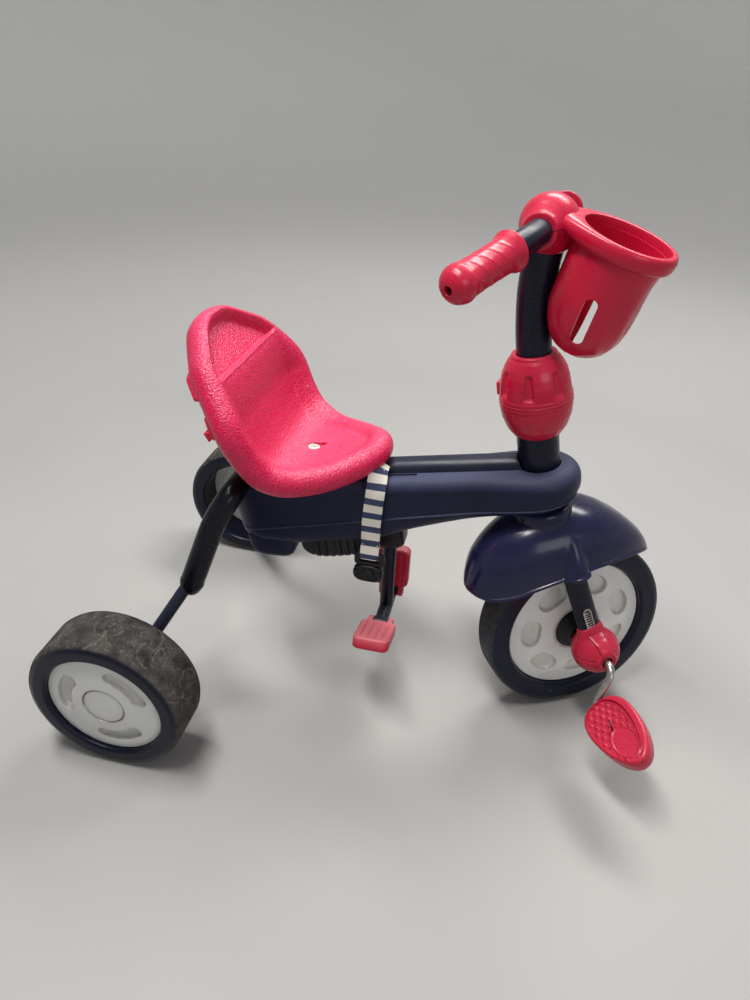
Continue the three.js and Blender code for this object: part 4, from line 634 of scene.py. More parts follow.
def white_look(name, painted_light_factor=1.0, slot=None):
    """Off-white plastic with brown grime where dirt settles."""
    look = Look(name, slot)
    darker, lighter = (0.6, 0.605, 0.59), (0.69, 0.695, 0.68)
    # a factor over 1 gives a brighter copy of this plastic, painted light for a piece that the lamps leave
    # too dark
    base = look.mix(look.spots(12, 4, 0.3, 0.7), *shades(darker, painted_light_factor), *shades(lighter, painted_light_factor))
    veil = look.spots(35, 6, 0.5, 0.8, 0.7)
    base = look.over(base, (0.42, 0.39, 0.34), veil, 0.14)
    settled_and_sheen = look.times(look.attribute("wear_and_highlight"), look.spots(190, 6, 0.3, 0.7, 0.75, 0.25, 1))
    base = look.over(base, (0.24, 0.185, 0.12), settled_and_sheen, 0.85)
    base = look.over(base, (0.2, 0.16, 0.11), look.spots(700, 4, 0.68, 0.74, 0.8), 0.35)
    bumps = look.bump(look.noise(800), 0.05, 0.0003)
    return look.finish(base, look.range(veil, 0, 1, 0.3, 0.5), bumps, Specular_IOR_Level=0.5)


RED = (0.49, 0.0048, 0.034)
NAVY = (0.005, 0.0068, 0.029)
# the dust colours and upward amounts below make upward faces paler, partly dust and partly a painted sheen
red_plastic = moulded(
    "red_plastic", RED, 0.22, dust_and_sheen=0.02, grain=0.02, vary=0.05, dust_and_sheen_colour=(0.8, 0.25, 0.36),
    shine_level=0.36, top_dust_and_sheen=0.12,
)
worn_red = moulded(
    "worn_red_plastic", RED, 0.34, dust_and_sheen=0.1, vary=0.05, dust_and_sheen_colour=(0.82, 0.42, 0.46),
    shine_level=0.34, top_dust_and_sheen=0.42, slot="red_plastic",
)
navy_plastic = moulded(
    "navy_plastic", NAVY, 0.4, dust_and_sheen=0.15, vary=0.15, dust_and_sheen_colour=(0.1, 0.11, 0.2),
    shine_level=0.24, top_dust_and_sheen=0.62,
)
gloss_navy = moulded(
    "gloss_navy_plastic", (0.0048, 0.005, 0.036), 0.15, coat=0.1, dust_and_sheen=0.1, grain=0.02, vary=0.15,
    dust_and_sheen_colour=(0.1, 0.1, 0.19), shine_level=0.34, top_dust_and_sheen=0.16, slot="navy_plastic",
)
navy_paint = moulded(
    "navy_paint", (0.0026, 0.004, 0.015), 0.25, dust_and_sheen=0.08, grain=0.02, vary=0.15,
    dust_and_sheen_colour=(0.09, 0.1, 0.14), shine_level=0.24, top_dust_and_sheen=0.25,
)
black_plastic = moulded(
    "black_plastic", (0.0055, 0.0058, 0.009), 0.38, dust_and_sheen=0.2, grain=0.06, vary=0.2,
    dust_and_sheen_colour=(0.06, 0.06, 0.07),
)
gloss_black = moulded(
    "gloss_black_plastic", (0.0026, 0.0033, 0.0075), 0.26, dust_and_sheen=0.08, grain=0.03, vary=0.2,
    dust_and_sheen_colour=(0.07, 0.07, 0.08), shine_level=0.22, slot="black_plastic",
)
pink_plastic = pebbled("pink_plastic", (0.68, 0.0065, 0.074), 0.32)
white_plastic = white_look("white_plastic")
# painted light: a brighter copy of the white plastic for the front disc, which the lamps leave too dark
painted_lit_white = white_look("painted_lit_white_plastic", 1.27, "white_plastic")
worn_tyre = worn_tread("worn_tyre")
navy_tyre = speckled("navy_tyre", (0.0038, 0.0052, 0.018), 0.3)
steel = steel_look("steel", (0.47, 0.45, 0.43), 0.27)
webbing = webbing_look("webbing", stripe_pitch=0.0198)


# ---------------------------------------------------------------- camera, light and floor

CAMERA_PLACE = (0.1337, -0.7423, 0.7520)
TURN, DOWN, ROLL = 0.195, 0.571, 0.048  # radians: to the left of +Y, below the horizon, and roll

scene = bpy.context.scene
scene.view_settings.view_transform = "Standard"
camera_data = bpy.data.cameras.new("camera")
camera_data.sensor_width = 36
camera_data.lens = 26.12
camera = bpy.data.objects.new("camera", camera_data)
scene.collection.objects.link(camera)
scene.camera = camera
ahead = Vector((-math.sin(TURN) * math.cos(DOWN), math.cos(TURN) * math.cos(DOWN), -math.sin(DOWN)))
flat_right = ahead.cross(Vector((0, 0, 1))).normalized()
flat_up = flat_right.cross(ahead)
right = math.cos(ROLL) * flat_right + math.sin(ROLL) * flat_up
up = math.cos(ROLL) * flat_up - math.sin(ROLL) * flat_right
stand = Matrix((right, up, -ahead)).transposed().to_4x4()
stand.translation = Vector(CAMERA_PLACE)
camera.matrix_world = stand

world = bpy.data.worlds.new("studio")
scene.world = world
world.use_nodes = True
background = world.node_tree.nodes["Background"]
background.inputs["Color"].default_value = (0.92, 0.94, 1.0, 1)
background.inputs["Strength"].default_value = 0.15


def lamp(name, place, target_height, size, power, colour=(1, 1, 1)):
    data = bpy.data.lights.new(name, "AREA")
    data.shape = "RECTANGLE"
    data.size, data.size_y = size
    data.energy = power
    data.color = colour
    thing = bpy.data.objects.new(name, data)
    thing.location = place
    aim = Vector((0, 0, target_height)) - Vector(place)
    thing.rotation_euler = aim.to_track_quat("-Z", "Y").to_euler()
    scene.collection.objects.link(thing)


WARM = (1.0, 0.98, 0.95)
lamp("ceiling_lamp", (-0.45, -0.35, 2.3), 0.2, (1.3, 0.3), 50, WARM)
lamp("second_ceiling_lamp", (0.55, 1.35, 2.2), 0.2, (1.6, 0.5), 46, WARM)
lamp("front_lamp", (1.5, -2.0, 1.6), 0.3, (1.2, 1.0), 9)

# a flat round floor that rises into a paler wall all round
FLOOR_LINE = [
    (20, 0), (900, 0), (2600, 0), (3100, 20), (3500, 110), (3800, 300), (4000, 640), (4050, 1100),
    (4050, 2600),
]
floor_look = Look("floor")
near = floor_look.mix(floor_look.noise(3), (0.36, 0.355, 0.35), (0.4, 0.395, 0.385))
distance = floor_look.node("VectorMath", "Value", {"Vector": floor_look.place}, operation="LENGTH")
floor_tone = floor_look.mix(floor_look.range(distance, 1.0, 4.0), near, (0.8, 0.8, 0.79))
floor_look.finish(floor_tone, 0.55, floor_look.bump(floor_look.noise(60), 0.03, 0.001))
around = circle(96)
floor_points = [(r * math.cos(a), r * math.sin(a), z) for r, z in FLOOR_LINE for a in around]
floor_faces = skin_faces(len(FLOOR_LINE), len(around)) + [tuple(range(len(around)))]
floor = build(floor_points, floor_faces, WORLD, close=False)
floor.name = "floor"
floor.data.materials.append(floor_look.material)


# ---------------------------------------------------------------- seat

# stations down the middle of the rim: x, half the distance between its sides, z
SEAT_LINE = [
    (55, 34, 466), (61, 50, 459), (72, 70, 447), (86, 85, 432), (99, 97, 416), (111, 106, 399),
    (120, 108, 381), (131, 103, 358), (147, 97, 336), (169, 87, 325), (193, 72, 323), (218, 57, 327),
    (243, 38, 334), (256, 24, 339),
]
RIM = 16
SEAT_SHELL = 6
SEAT_OVERHANG = 17  # from the end stations to the seat's tips
LEDGE = 0.245
SCREW_SHARE = 0.715
CATCH_SHARE = 0.38


def seat_depth(share):
    """How deep the pan lies under the top of the rim."""
    if share < LEDGE + 0.012:
        return lerp(12, 3, smooth(share, LEDGE - 0.006, LEDGE + 0.008))
    if share < 0.5:
        return lerp(3, 20, smooth(share, 0.25, 0.5))
    return lerp(20, 4, smooth(share, 0.5, 0.85))


def seat_station(share):
    place = spline(SEAT_LINE, share)
    direction = unit((spline(SEAT_LINE, share + 0.02) - spline(SEAT_LINE, share - 0.02)) * (1, 0, 1))
    return place, direction, np.array([-direction[2], 0, direction[0]])


def seat_frame(share, y_share, lift):
    """A frame on the seat, with X along it and Z up from it."""
    place, direction, up = seat_station(share)
    matrix = np.eye(4)
    matrix[:3, 0], matrix[:3, 2] = direction, up
    matrix[:3, 3] = place * (1, y_share, 1) + up * lift
    return WORLD @ Matrix(matrix.tolist())


def seat_outline():
    """The seat's edge seen square on, as (length from the top station, half width), tip to tip."""
    shares = np.linspace(0, 1, 401)
    lengths = lengths_along(np.array([spline(SEAT_LINE, s) for s in shares])[:, ::2])
    total = lengths[-1]
    points = [(-17, 0), (-15.6, 17), (-11, 33.5), (-4, 45.5), (2.5, 54.5), (10, 65.5)]
    for share in np.linspace(0.15, 0.85, 15):
        points.append((float(np.interp(share, shares, lengths)), spline(SEAT_LINE, share)[1] + RIM))
    tip = [(-14, 53.5), (-1, 41), (7, 31.5), (12.5, 21.5), (16, 10.5), (17, 0)]
    points += [(total + past, half) for past, half in tip]
    edge = along([(a, b, 0) for a, b in points], 900)[:, :2]
    return shares, lengths, edge


def seat_heights(inward, share):
    """Heights of the seat's top and underside this far in from its edge, over the rim's middle."""
    pan = RIM - seat_depth(share)
    crown = lerp(9, RIM, smooth(share, 0.05, 0.45))
    reach = lerp(11, 27, smooth(share, LEDGE - 0.005, LEDGE + 0.006))
    outer = RIM * np.sqrt(1 - np.clip(1 - inward / crown, 0, 1) ** 2)
    fall = RIM * np.cos(np.clip((inward - crown) / reach, 0, 1) * math.pi / 2)
    crest = np.where(inward < crown, outer, fall)
    gap = np.clip(1 - np.abs(crest - pan) / 3.0, 0, 1)
    top = np.where(inward < crown, outer, np.maximum(crest, pan) + 0.75 * gap**2)
    below = lerp(-RIM, pan - SEAT_SHELL, smooth(inward, crown + 1, crown + 22))
    return top, np.where(inward < crown, -outer, below)


def make_seat():
    shares, lengths, edge = seat_outline()
    total = lengths[-1]
    ledge = float(np.interp(LEDGE, shares, lengths))
    tips = 22 * (1 - np.cos(np.linspace(0.04, math.pi / 2, 16))) - SEAT_OVERHANG
    step = np.array([0.7, 1.4, 2.2, 3.2])
    middle = [np.linspace(8, total - 8, 110), ledge - step, [ledge], ledge + step]
    places = np.unique(np.round(np.concatenate([tips, *middle, total - tips]), 2))
    outer = 8 * (1 - np.cos(np.linspace(0, math.pi / 2, 9))) * 2
    base = np.concatenate([outer, np.linspace(17, 44, 18)])
    both = np.vstack([edge, edge * (1, -1)])
    rows = []
    for length in places:
        width = float(np.interp(length, edge[:, 0], edge[:, 1]))
        inward = base * min(width / 44, 1)
        inward = np.concatenate([inward, np.linspace(inward[-1], width, 14)[1:]])
        y = width - inward
        distance = np.array([np.min(np.hypot(both[:, 0] - length, both[:, 1] - v)) for v in y])
        distance[0] = 0
        share = float(np.interp(length, lengths, shares))
        place, direction, up = seat_station(share)
        middle = place * (1, 0, 1) + direction * (min(length, 0) + max(length - total, 0))
        top, below = seat_heights(distance, share)
        ridge = 0.9 * bell_curve(length, ledge + 1.6, 1.3) * smooth(distance, 20, 30)
        upper, lower = list(zip(y, top + ridge)), list(zip(y, below))
        section = upper + [(-v, h) for v, h in reversed(upper[:-1])]
        section += [(-v, h) for v, h in lower[1:]] + lower[-2:0:-1]
        rows.append([middle + up * h + np.array([0, v, 0]) for v, h in section])
    seat = loft(rows, WORLD, sharp=75)

    screw = seat_frame(SCREW_SHARE, 0, RIM - seat_depth(SCREW_SHARE))
    hole_line = [(0, -3.2), (8.2, -3.2), (8.4, -1.2), (9.4, 0.6), (10.4, 14), (0, 14)]
    hole = lathe(hole_line, screw, segments=48, corner=0)
    notch_shape = [(-3, -7.6), (6, -6.6), (14, -2.6), (16.5, 0), (14, 2.6), (6, 6.6), (-3, 7.6)]
    notch_frame = screw @ turn(28, "Z") @ turn(-5, "Y") @ moved(0, 0, 4.2)
    notch = plate(np.array(notch_shape), 14, 0.8, notch_frame, count=60, centre=(4, 0))
    cut(seat, [hole, notch, plug(3.4, -17, 1, screw, segments=24)], 50)
    show(seat, "seat_shell", pink_plastic, name="seat")

    head_line = [(0, -2.9), (7.7, -2.9), (7.7, -1.7), (6.6, -1.1), (0, -0.8)]
    head = lathe(head_line, screw, segments=40, corner=0.4)
    cut(head, [box((9, 1.4, 2.4), screw @ turn(a, "Z") @ moved(0, 0, -0.8), 0) for a in (20, 110)])
    wear_and_highlight(head, 0.55)
    show(head, "seat_screw", white_plastic, name="screw")

    for side, sign in SIDES:
        show(rim_patch(0.142, 0.258, sign, 34, 6.6, True), f"back_pad_{side}", pink_plastic)
        behind = seat_frame(CATCH_SHARE, sign, 0) @ moved(4, 0, -RIM)
        catch = [
            rim_patch(0.318, 0.425, sign, 21, 3.6),
            rim_patch(0.335, 0.41, sign, 9, 5.2),
            box((9, 8, 7), behind @ moved(0, 0, -6.4), 1.5),
            box((11, 9.5, 2), behind @ moved(0, 0, -9.5), 0.9),
        ]
        show(joined(catch), f"back_catch_{side}", red_plastic)


def rim_point(share, sign, angle, lift):
    """A point over the back of the rim, this many degrees round from straight behind it."""
    place, _, up = seat_station(share)
    reach = RIM + lift
    x, y, z = place - up * reach * cosd(angle)
    return np.array([x, sign * (y + reach * sind(angle)), z])


def rim_patch(start, end, sign, spread, height, rounded=False):
    """A pad that follows the back of the seat's rim, with square or well rounded ends and sides."""
    slope, power = (2.2, 3) if rounded else (6, 6)
    rows = []
    for s in np.linspace(0, 1, 25):
        share = lerp(start, end, s)
        edge = min(s, 1 - s) * 2
        lift_here = height * (1 - (1 - min(edge * slope, 1)) ** 3)
        width = spread * (1 - 0.35 * (1 - min(edge * 3, 1)) ** 2 if rounded else 1)
        ring = [rim_point(share, sign, a * width, 0.1) for a in np.linspace(-1, 1, 13)]
        for a in np.linspace(1, -1, 13):
            lift = max(lift_here * (1 - abs(a) ** power) ** 0.5, 0.2)
            ring.append(rim_point(share, sign, a * width, 0.1 + lift))
        rows.append(ring)
    return loft(rows, WORLD, sharp=55)


# ---------------------------------------------------------------- frame, cover and rear legs

COVER_LENGTH = 381
COVER_WALL = 3
NOSE = 46
COVER_CORNER = 17
TUBE_RADIUS = 17
TUBE_BACK = -345
AXLE_ROD_RADIUS = 7.5
HEAD_HOLE = 24.4
UNDERSIDE = [(46, -34), (0, -43), (-60, -49), (-154, -67), (-200, -80), (-300, -86), (-381, -78)]
SEAM_SLOPE = math.tan(math.radians(4.1))
SEAM = 27
BEAD_DROP = 2.4
TAIL = 40 - COVER_LENGTH
ARCH = [(98, 76, 292), (80, 89, 260), (53, 110, 178)]
ARCH_RADIUS = 14.5
ARCH_LINE = [(x, -y, z) for x, y, z in reversed(ARCH)] + ARCH
underside = along([(x, z, 0) for x, z in UNDERSIDE], 240)


def seam_height(x):
    return -SEAM + (x - NOSE) * SEAM_SLOPE


def cover_half_width(x):
    if x > 0:
        return math.sqrt(max(NOSE**2 - x**2, 1))
    width = lerp(NOSE, 38, smooth(-x, 0, 90))
    if x > TAIL:
        return width
    return width * math.sqrt(max(1 - 0.75 * ((TAIL - x) / (COVER_LENGTH + TAIL)) ** 2, 0.01))


def cover_bottom(x):
    return float(np.interp(-x, -underside[:, 0], underside[:, 1]))


def cover_profile(half, top, bottom, steps=8):
    """Half a section of the cover as (distance out, height), from the top's middle to the bottom's."""
    corner = min(COVER_CORNER, half * 0.85, (top - bottom) * 0.48)
    points = [(0, top), (half * 0.4, top)]
    for start, rise in ((90, top - corner), (0, bottom + corner)):
        for step in range(steps + 1):
            angle = start - 90 * step / steps
            points.append((half - corner + corner * cosd(angle), rise + corner * sind(angle)))
    return points + [(half * 0.4, bottom), (0, bottom)]


def cover_body(inset=0):
    """The cover's outer shape, or the space inside it."""
    back = inset - COVER_LENGTH
    places = [back + step for step in (0, 1.5, 4, 8, 13, 19, 27, 38)]
    places += list(np.linspace(back + 50, 0, 36))
    side = []
    for x in places:
        rounding = max(0.0, 1 - (x - back) / 19)
        squeeze = inset + 11 * (1 - math.sqrt(1 - rounding**2))
        profile = cover_profile(cover_half_width(x) - squeeze, 5 - squeeze, cover_bottom(x) + squeeze)
        side.append([(x, y, z) for y, z in profile])
    rows = list(side)
    for angle in np.linspace(0, math.pi, 41)[1:-1]:
        bottom = cover_bottom((NOSE - inset) * math.sin(angle)) + inset
        profile = cover_profile(NOSE - inset, 5 - inset, bottom)
        rows.append([(y * math.sin(angle), y * math.cos(angle), z) for y, z in profile])
    rows += [[(x, -y, z) for x, y, z in row] for row in reversed(side)]
    number, count = np.shape(rows)[:2]
    last = (number - 1) * count
    end = tuple(range(count)) + tuple(last + i for i in range(count - 2, 0, -1))
    return build(rows, skin_faces(number, count, False) + [end], RAKED, 40)


def seam_block(drop, above):
    """Everything above or below the seam between the cover's two shells."""
    far = 600
    edge = 400 if above else -400
    rows = []
    for x in (-far, far):
        seam = seam_height(x) - drop
        rows.append([(x, -far, edge), (x, far, edge), (x, far, seam), (x, -far, seam)])
    return loft(rows, RAKED)


def seam_inset(x):
    """How far the cover's rounded lower edge has turned in at the bead under the seam."""
    above = seam_height(x) - BEAD_DROP - cover_bottom(x)
    return COVER_CORNER - math.sqrt(COVER_CORNER**2 - max(COVER_CORNER - above, 0) ** 2) - 0.2


def make_cover():
    low = -90
    slot = box((COVER_LENGTH, 32, 30), RAKED @ moved(-COVER_LENGTH / 2 - 30, 0, 15), 0)
    tube_hole = tube([(TUBE_BACK - 0.3, 0, 0), (0, 0, 0)], TUBE_RADIUS + 0.3, RAKED, sides=40, ends=0)
    head_hole = plug(HEAD_HOLE, low, 60, RAKED)
    arch_hole = tube(ARCH_LINE, ARCH_RADIUS + 0.3, WORLD, 22, 24, ends=0)
    upper = cover_body()
    cut(upper, [cover_body(COVER_WALL), seam_block(0.35, False), tube_hole, head_hole, slot, arch_hole], 35)
    cut(upper, [box((104, 19, 5), RAKED @ moved(-190, -27.5, 5.1), 1)], 35)
    show(bevelled(upper, 0.7, 2, 50), "cover_upper", navy_plastic)
    lower = cover_body()
    cut(lower, [cover_body(COVER_WALL), seam_block(0.95, True), plug(HEAD_HOLE, low, 60, RAKED)], 35)
    bead = []
    for x in np.linspace(-366, 0, 60):
        bead.append((x, cover_half_width(x) - seam_inset(x), seam_height(x) - BEAD_DROP))
    for angle in range(4, 91, 4):
        out = NOSE - seam_inset(NOSE * sind(angle))
        bead.append((out * sind(angle), out * cosd(angle), seam_height(out * sind(angle)) - BEAD_DROP))
    bead += [(x, -y, z) for x, y, z in reversed(bead[:-1])]
    line = tube(bead, 1.15, RAKED, sides=8, ends=0)
    # painted highlight: the whole bead is marked so that it renders paler, a pale line along the seam
    wear_and_highlight(line, 1.0)
    show(joined([bevelled(lower, 0.6, 2, 50), line]), "cover_lower", navy_plastic)
    make_cover_foot("tail", -308, -366, 20, 0, navy_plastic)
    make_cover_foot("ribbed", -209, -296, 19, 7, black_plastic)


def make_cover_foot(name, front, back, depth, ribs, look):
    rows = []
    for share in np.linspace(0, 1, 88):
        x = lerp(back, front, share)
        fall = math.sqrt(max(1 - 0.82 * abs(share * 2 - 1) ** 4, 0))
        half = 36 - 6 * (1 - fall)
        cell = share * (ribs + 2)
        if 0 < cell - 1 < ribs:
            half -= 1.7 * (1 - smooth(abs(cell % 1 - 0.5), 0.12, 0.2))
        top, bottom = cover_bottom(x) + 12, cover_bottom(x) - depth * fall
        section = [(x, half, top), (x, -half, top), (x, -half, bottom), (x, half, bottom)]
        rows.append(rounded_path(section, [0, 0, 9, 9], 5, True))
    show(loft(rows, RAKED, sharp=50), f"cover_foot_{name}", look)


def make_frame():
    tube_line = [(TUBE_BACK, 0, 0), (-180, 0, 0), (0, 0, 0)]
    frame_tube = tube(tube_line, TUBE_RADIUS, RAKED, sides=48, ends=0)
    show(cut(frame_tube, [plug(HEAD_HOLE, -60, 60, RAKED)]), "frame_tube", navy_paint)
    head_line = [
        (14.3, -47), (23.8, -47), (23.8, -44), (23.2, -43.4), (23.2, 41), (23.8, 41.6), (23.8, 45),
        (14.3, 45),
    ]
    show(lathe(head_line, RAKED, corner=0.6), "head_tube", navy_paint)
    make_cover()

    bracket = []
    for share in np.linspace(0.66, 0.82, 9):
        place, _, up = seat_station(share)
        under = place * (1, 0, 1) + up * (RIM - seat_depth(share) - SEAT_SHELL - 0.6)
        x, _, z = RAKED.inverted() @ WORLD @ Vector(under)
        bracket.append([(x, 15.4, z), (x, -15.4, z), (x, -15.4, 4), (x, 15.4, 4)])
    show(bevelled(loft(bracket, RAKED), 1.2, 2), "seat_bracket", black_plastic)

    arch = tube(ARCH_LINE, ARCH_RADIUS, WORLD, 26, 48, 12, 0.8)
    bores, collars = [], []
    for side, sign in SIDES:
        rod_line = [(52, 111, 181), (0, 185.5, REAR_RADIUS), (0, REAR_TRACK + 18.5, REAR_RADIUS)]
        rod = tube([(x, sign * y, z) for x, y, z in rod_line], AXLE_ROD_RADIUS, WORLD, 16, 32, 10, 0.8)
        show(rod, f"axle_rod_{side}", navy_paint)
        bore_line = [(58, sign * 103, 191), (20, sign * 157, 127)]
        bores.append(tube(bore_line, AXLE_ROD_RADIUS + 0.4, WORLD, sides=28, ends=0))
        knee, end = (np.array([x, sign * y, z], float) for x, y, z in ARCH[1:])
        back = unit(knee - end)
        line, radii = [end + back * d for d in (3, -0.5, -9, -13)], [14.9, 14.9, 12.5, 9.5]
        collars.append(tube(line, radii, WORLD, sides=48, ends=0, sharp=50))
    show(joined([cut(arch, bores), *collars]), "rear_arch", gloss_black)


# ---------------------------------------------------------------- wheels

KIDNEY = (40, 57, 25)  # the rear discs' curved pockets: inner and outer radius and half angle
KIDNEY_TURN = {"right": 77, "left": 40}
KIDNEY_DEPTH = 8
BEANS = 7  # the front disc's pockets
BEAN_RADIUS = 63
BEAN_SIZE = (12.6, 19.5)  # half of it outward and half round the wheel
BEAN_DEPTH = 7
CRANK = 47
CRANK_ANGLE = 33
CRANK_OUT = 109  # from the wheel's middle to each crank
PEDAL_OUT = 115
PEDAL_LENGTH = 93
PEDAL_BORE = PEDAL_LENGTH * 0.72


def tread_pattern(radius, pitch, width):
    """How deep in a tread groove a point is, from 0 to 1, for arrays of angle and place across.
    The grooves are linked hooks, mirrored in every other cell."""
    length = 2 * math.pi * radius / pitch
    hooks = ((-4, 7, 17, -170, 95), (16, -12, 21, 150, 300), (-0.5 * length, 2, 24, -60, 40))

    def depth(angles, across):
        run = angles / (2 * math.pi) * pitch % pitch
        cell = np.floor(run)
        u = (run - cell - 0.5) * length
        v = across * np.where(cell % 2 == 0, 1.0, -1.0)
        best = np.zeros_like(u)
        for cu, cv, size, low, high in hooks:
            middle, spread = (low + high) / 2, (high - low) / 2
            for shift in (-length, 0, length):
                du, dv = u - cu - shift, v - cv
                off = np.abs(np.hypot(du, dv) - size)
                gap = np.abs((np.degrees(np.arctan2(dv, du)) - middle + 180) % 360 - 180)
                inside = (1 - smooth(off, 0.5, width)) * (1 - smooth(gap, spread, spread + 12))
                best = np.maximum(best, inside)
        return best

    return depth


def make_tyre(node, wheel, inner, radius, width, shoulder, sink, body, look, cells, ribs=()):
    half = width / 2
    groove = tread_pattern(radius, cells, 1.1)
    crown = half - shoulder * 0.7

    def shape(radii, heights, angles):
        near_top = smooth(radii, radius - shoulder * 0.6, radius - 0.5)
        fade = 1 - smooth(np.abs(heights), crown - 3, crown)
        return radii - sink * groove(angles, heights) * near_top * fade, heights

    near, low = radius - shoulder * 0.3, half - shoulder * 0.3
    wall = radius - shoulder
    profile = [
        (inner, 3 - half), (inner + 2.5, -half), (inner + (radius - inner) * 0.3, -half - 0.1),
        (wall, -half), (near, -low), (radius, shoulder - half),
        (radius, half - shoulder), (near, low), (wall, half),
    ]
    groove_line = ((1.6, 0), (1.0, 1.1), (-1.0, 1.1), (-1.6, 0))
    for share in ribs:
        place = lerp(inner, wall, share)
        profile += [(place + out, half - sunk) for out, sunk in groove_line]
    profile += [(inner + 2.5, half), (inner, half - 3)]
    tyre = lathe(profile, wheel, "Y", 420, 1.2, shape, 50, 1.6)
    x, y, across, distance = wheel_points(tyre, wheel)
    on_top = smooth(distance, radius - shoulder * 0.75, radius - shoulder * 0.15)
    mark(tyre, "tread", on_top)
    wear_and_highlight(tyre, groove(np.arctan2(y, x) % (2 * math.pi), across) * on_top)
    show(tyre, node, look, body)


def make_rear_wheel(side, sign):
    wheel = WORLD @ moved(0, sign * REAR_TRACK, REAR_RADIUS) @ flipped(sign)
    body = f"{side}_rear_wheel"
    make_tyre(f"rear_tyre_{side}", wheel, 70.4, REAR_RADIUS, 67, 9, 0.9, body, worn_tyre, 10)
    inner, outer, half_angle = KIDNEY
    middle, half = (inner + outer) / 2, (outer - inner) / 2

    def pocket(x, y):
        """How far inside a curved pocket a point is, in millimetres; negative outside."""
        angle = np.degrees(np.arctan2(y, x))
        best = np.full(np.shape(x), -99.0)
        for start in (30, 150, 270):
            start += KIDNEY_TURN[side]
            swing = np.clip((angle - start + 180) % 360 - 180, -half_angle, half_angle)
            nearest = np.radians(swing + start)
            off = np.hypot(x - middle * np.cos(nearest), y - middle * np.sin(nearest))
            best = np.maximum(best, half - off)
        return best

    def dish(radii, heights, angles):
        inside = pocket(radii * np.cos(angles), radii * np.sin(angles))
        return radii, heights - KIDNEY_DEPTH * smooth(inside, -0.5, 1.9) * (heights > 16)

    profile = [
        (25.6, 27.6), (25.0, 25.6), (7.9, 25.6), (7.9, -21.5), (19, -21.5), (19, 12), (69.6, 12),
        (70, 13), (70, 25),
    ]
    for r in np.linspace(69.6, 26.2, 60):
        profile.append((r, 26.0 + 2.6 * (1 - smooth(r, 22, 69)) + 0.8 * (1 - smooth(r, 64, 69.6))))
    disc = lathe(profile, wheel, "Y", 340, 0, dish, 60, 1.2)
    x, y, out, distance = wheel_points(disc, wheel)
    inside = pocket(x, y)
    dirt = 0.9 * bell_curve(inside, 0.3, 0.7) + 0.25 * smooth(inside, 1, 4)
    wear_and_highlight(disc, np.clip(dirt + bell_curve(distance, 25.6, 1.3), 0, 1) * (out > 10))
    show(disc, f"rear_disc_{side}", white_plastic, body)
    cap_line = [(0, 25.8), (24.2, 25.8), (24.5, 27.2), (23.8, 28.7), (14, 29.1), (0, 29.2)]
    cap = lathe(cap_line, wheel, "Y", 96, 0.5)
    wear_and_highlight(cap, 0.6 * smooth(wheel_points(cap, wheel)[3], 22.5, 24.4))
    show(cap, f"rear_cap_{side}", white_plastic, body)


def make_front_disc():
    face = 13.5

    def inside(x, y):
        """How far inside one of the bean-like pockets a point is; negative outside."""
        pitch = 2 * math.pi / BEANS
        angle = np.arctan2(y, x) - math.radians(10.1) + math.pi
        swing = (angle + pitch / 2) % pitch - pitch / 2
        outward = np.hypot(x, y) - BEAN_RADIUS
        across, round_wheel = outward / BEAN_SIZE[0], BEAN_RADIUS * swing / BEAN_SIZE[1]
        bean = (np.abs(across) ** 2.4 + np.abs(round_wheel) ** 2.4) ** (1 / 2.4)
        return (1 - bean) * 12.5

    def dish(radii, heights, angles):
        depth = inside(radii * np.cos(angles), radii * np.sin(angles))
        sink = BEAN_DEPTH * smooth(depth, -0.8, 1.9) * (np.abs(heights) > 8)
        return radii, heights - np.sign(heights) * sink

    flank = [(91.6, face - 0.8)]
    flank += [(r, face + 7.4 * (1 - smooth(r, 58, 92))) for r in np.linspace(91, 27, 84)]
    flank += [(26, face + 0.6), (5.1, face + 0.6)]
    profile = flank + [(r, -h) for r, h in reversed(flank)] + [(92, 2 - face), (92, face - 2)]
    disc = lathe(profile, FRONT_WHEEL, "Y", 360, 0, dish, 60, 1.2)
    x, y, _, distance = wheel_points(disc, FRONT_WHEEL)
    depth = inside(x, y)
    dirt = 0.9 * bell_curve(depth, 0.2, 0.7) + 0.28 * smooth(depth, 0, 4) + bell_curve(distance, 31, 2.0)
    wear_and_highlight(disc, np.clip(dirt, 0, 1))
    # painted light: the front disc takes the brighter copy of the white plastic
    show(disc, "front_disc", painted_lit_white, "front_wheel")


def make_front_wheel():
    body = "front_wheel"
    make_tyre("front_tyre", FRONT_WHEEL, 92.4, FRONT_RADIUS, 45, 8, 0.8, body, navy_tyre, 14, (0.5,))
    make_front_disc()
    hub_line = [
        (5.1, 14.9), (29.6, 14.9), (30, 20.5), (29.2, 22), (26.5, 22.6), (24.5, 26), (19, 29),
        (16, 35), (5.1, 35),
    ]
    for side, sign in SIDES:
        hub = lathe(hub_line, FRONT_WHEEL @ flipped(sign, "X"), "Y", 72, 1.2)
        show(hub, f"front_hub_{side}", black_plastic, body)
    throw = CRANK * np.array([sind(CRANK_ANGLE), 0, cosd(CRANK_ANGLE)])
    out, tip = np.array([0, CRANK_OUT, 0]), np.array([0, PEDAL_OUT + PEDAL_BORE, 0])
    line = [-throw - tip, -throw - out, -out, out, throw + out, throw + tip]
    rod = tube(line, 4.75, FRONT_WHEEL, [0, 5, 20, 20, 5, 0], 32, 14, 0.8)
    show(rod, "crank_rod", steel, body)
    for side, sign in SIDES:
        place = sign * (throw + (0, PEDAL_OUT, 0))
        make_pedal(side, FRONT_WHEEL @ moved(*place) @ turn(-28.4, "Y") @ flipped(sign))


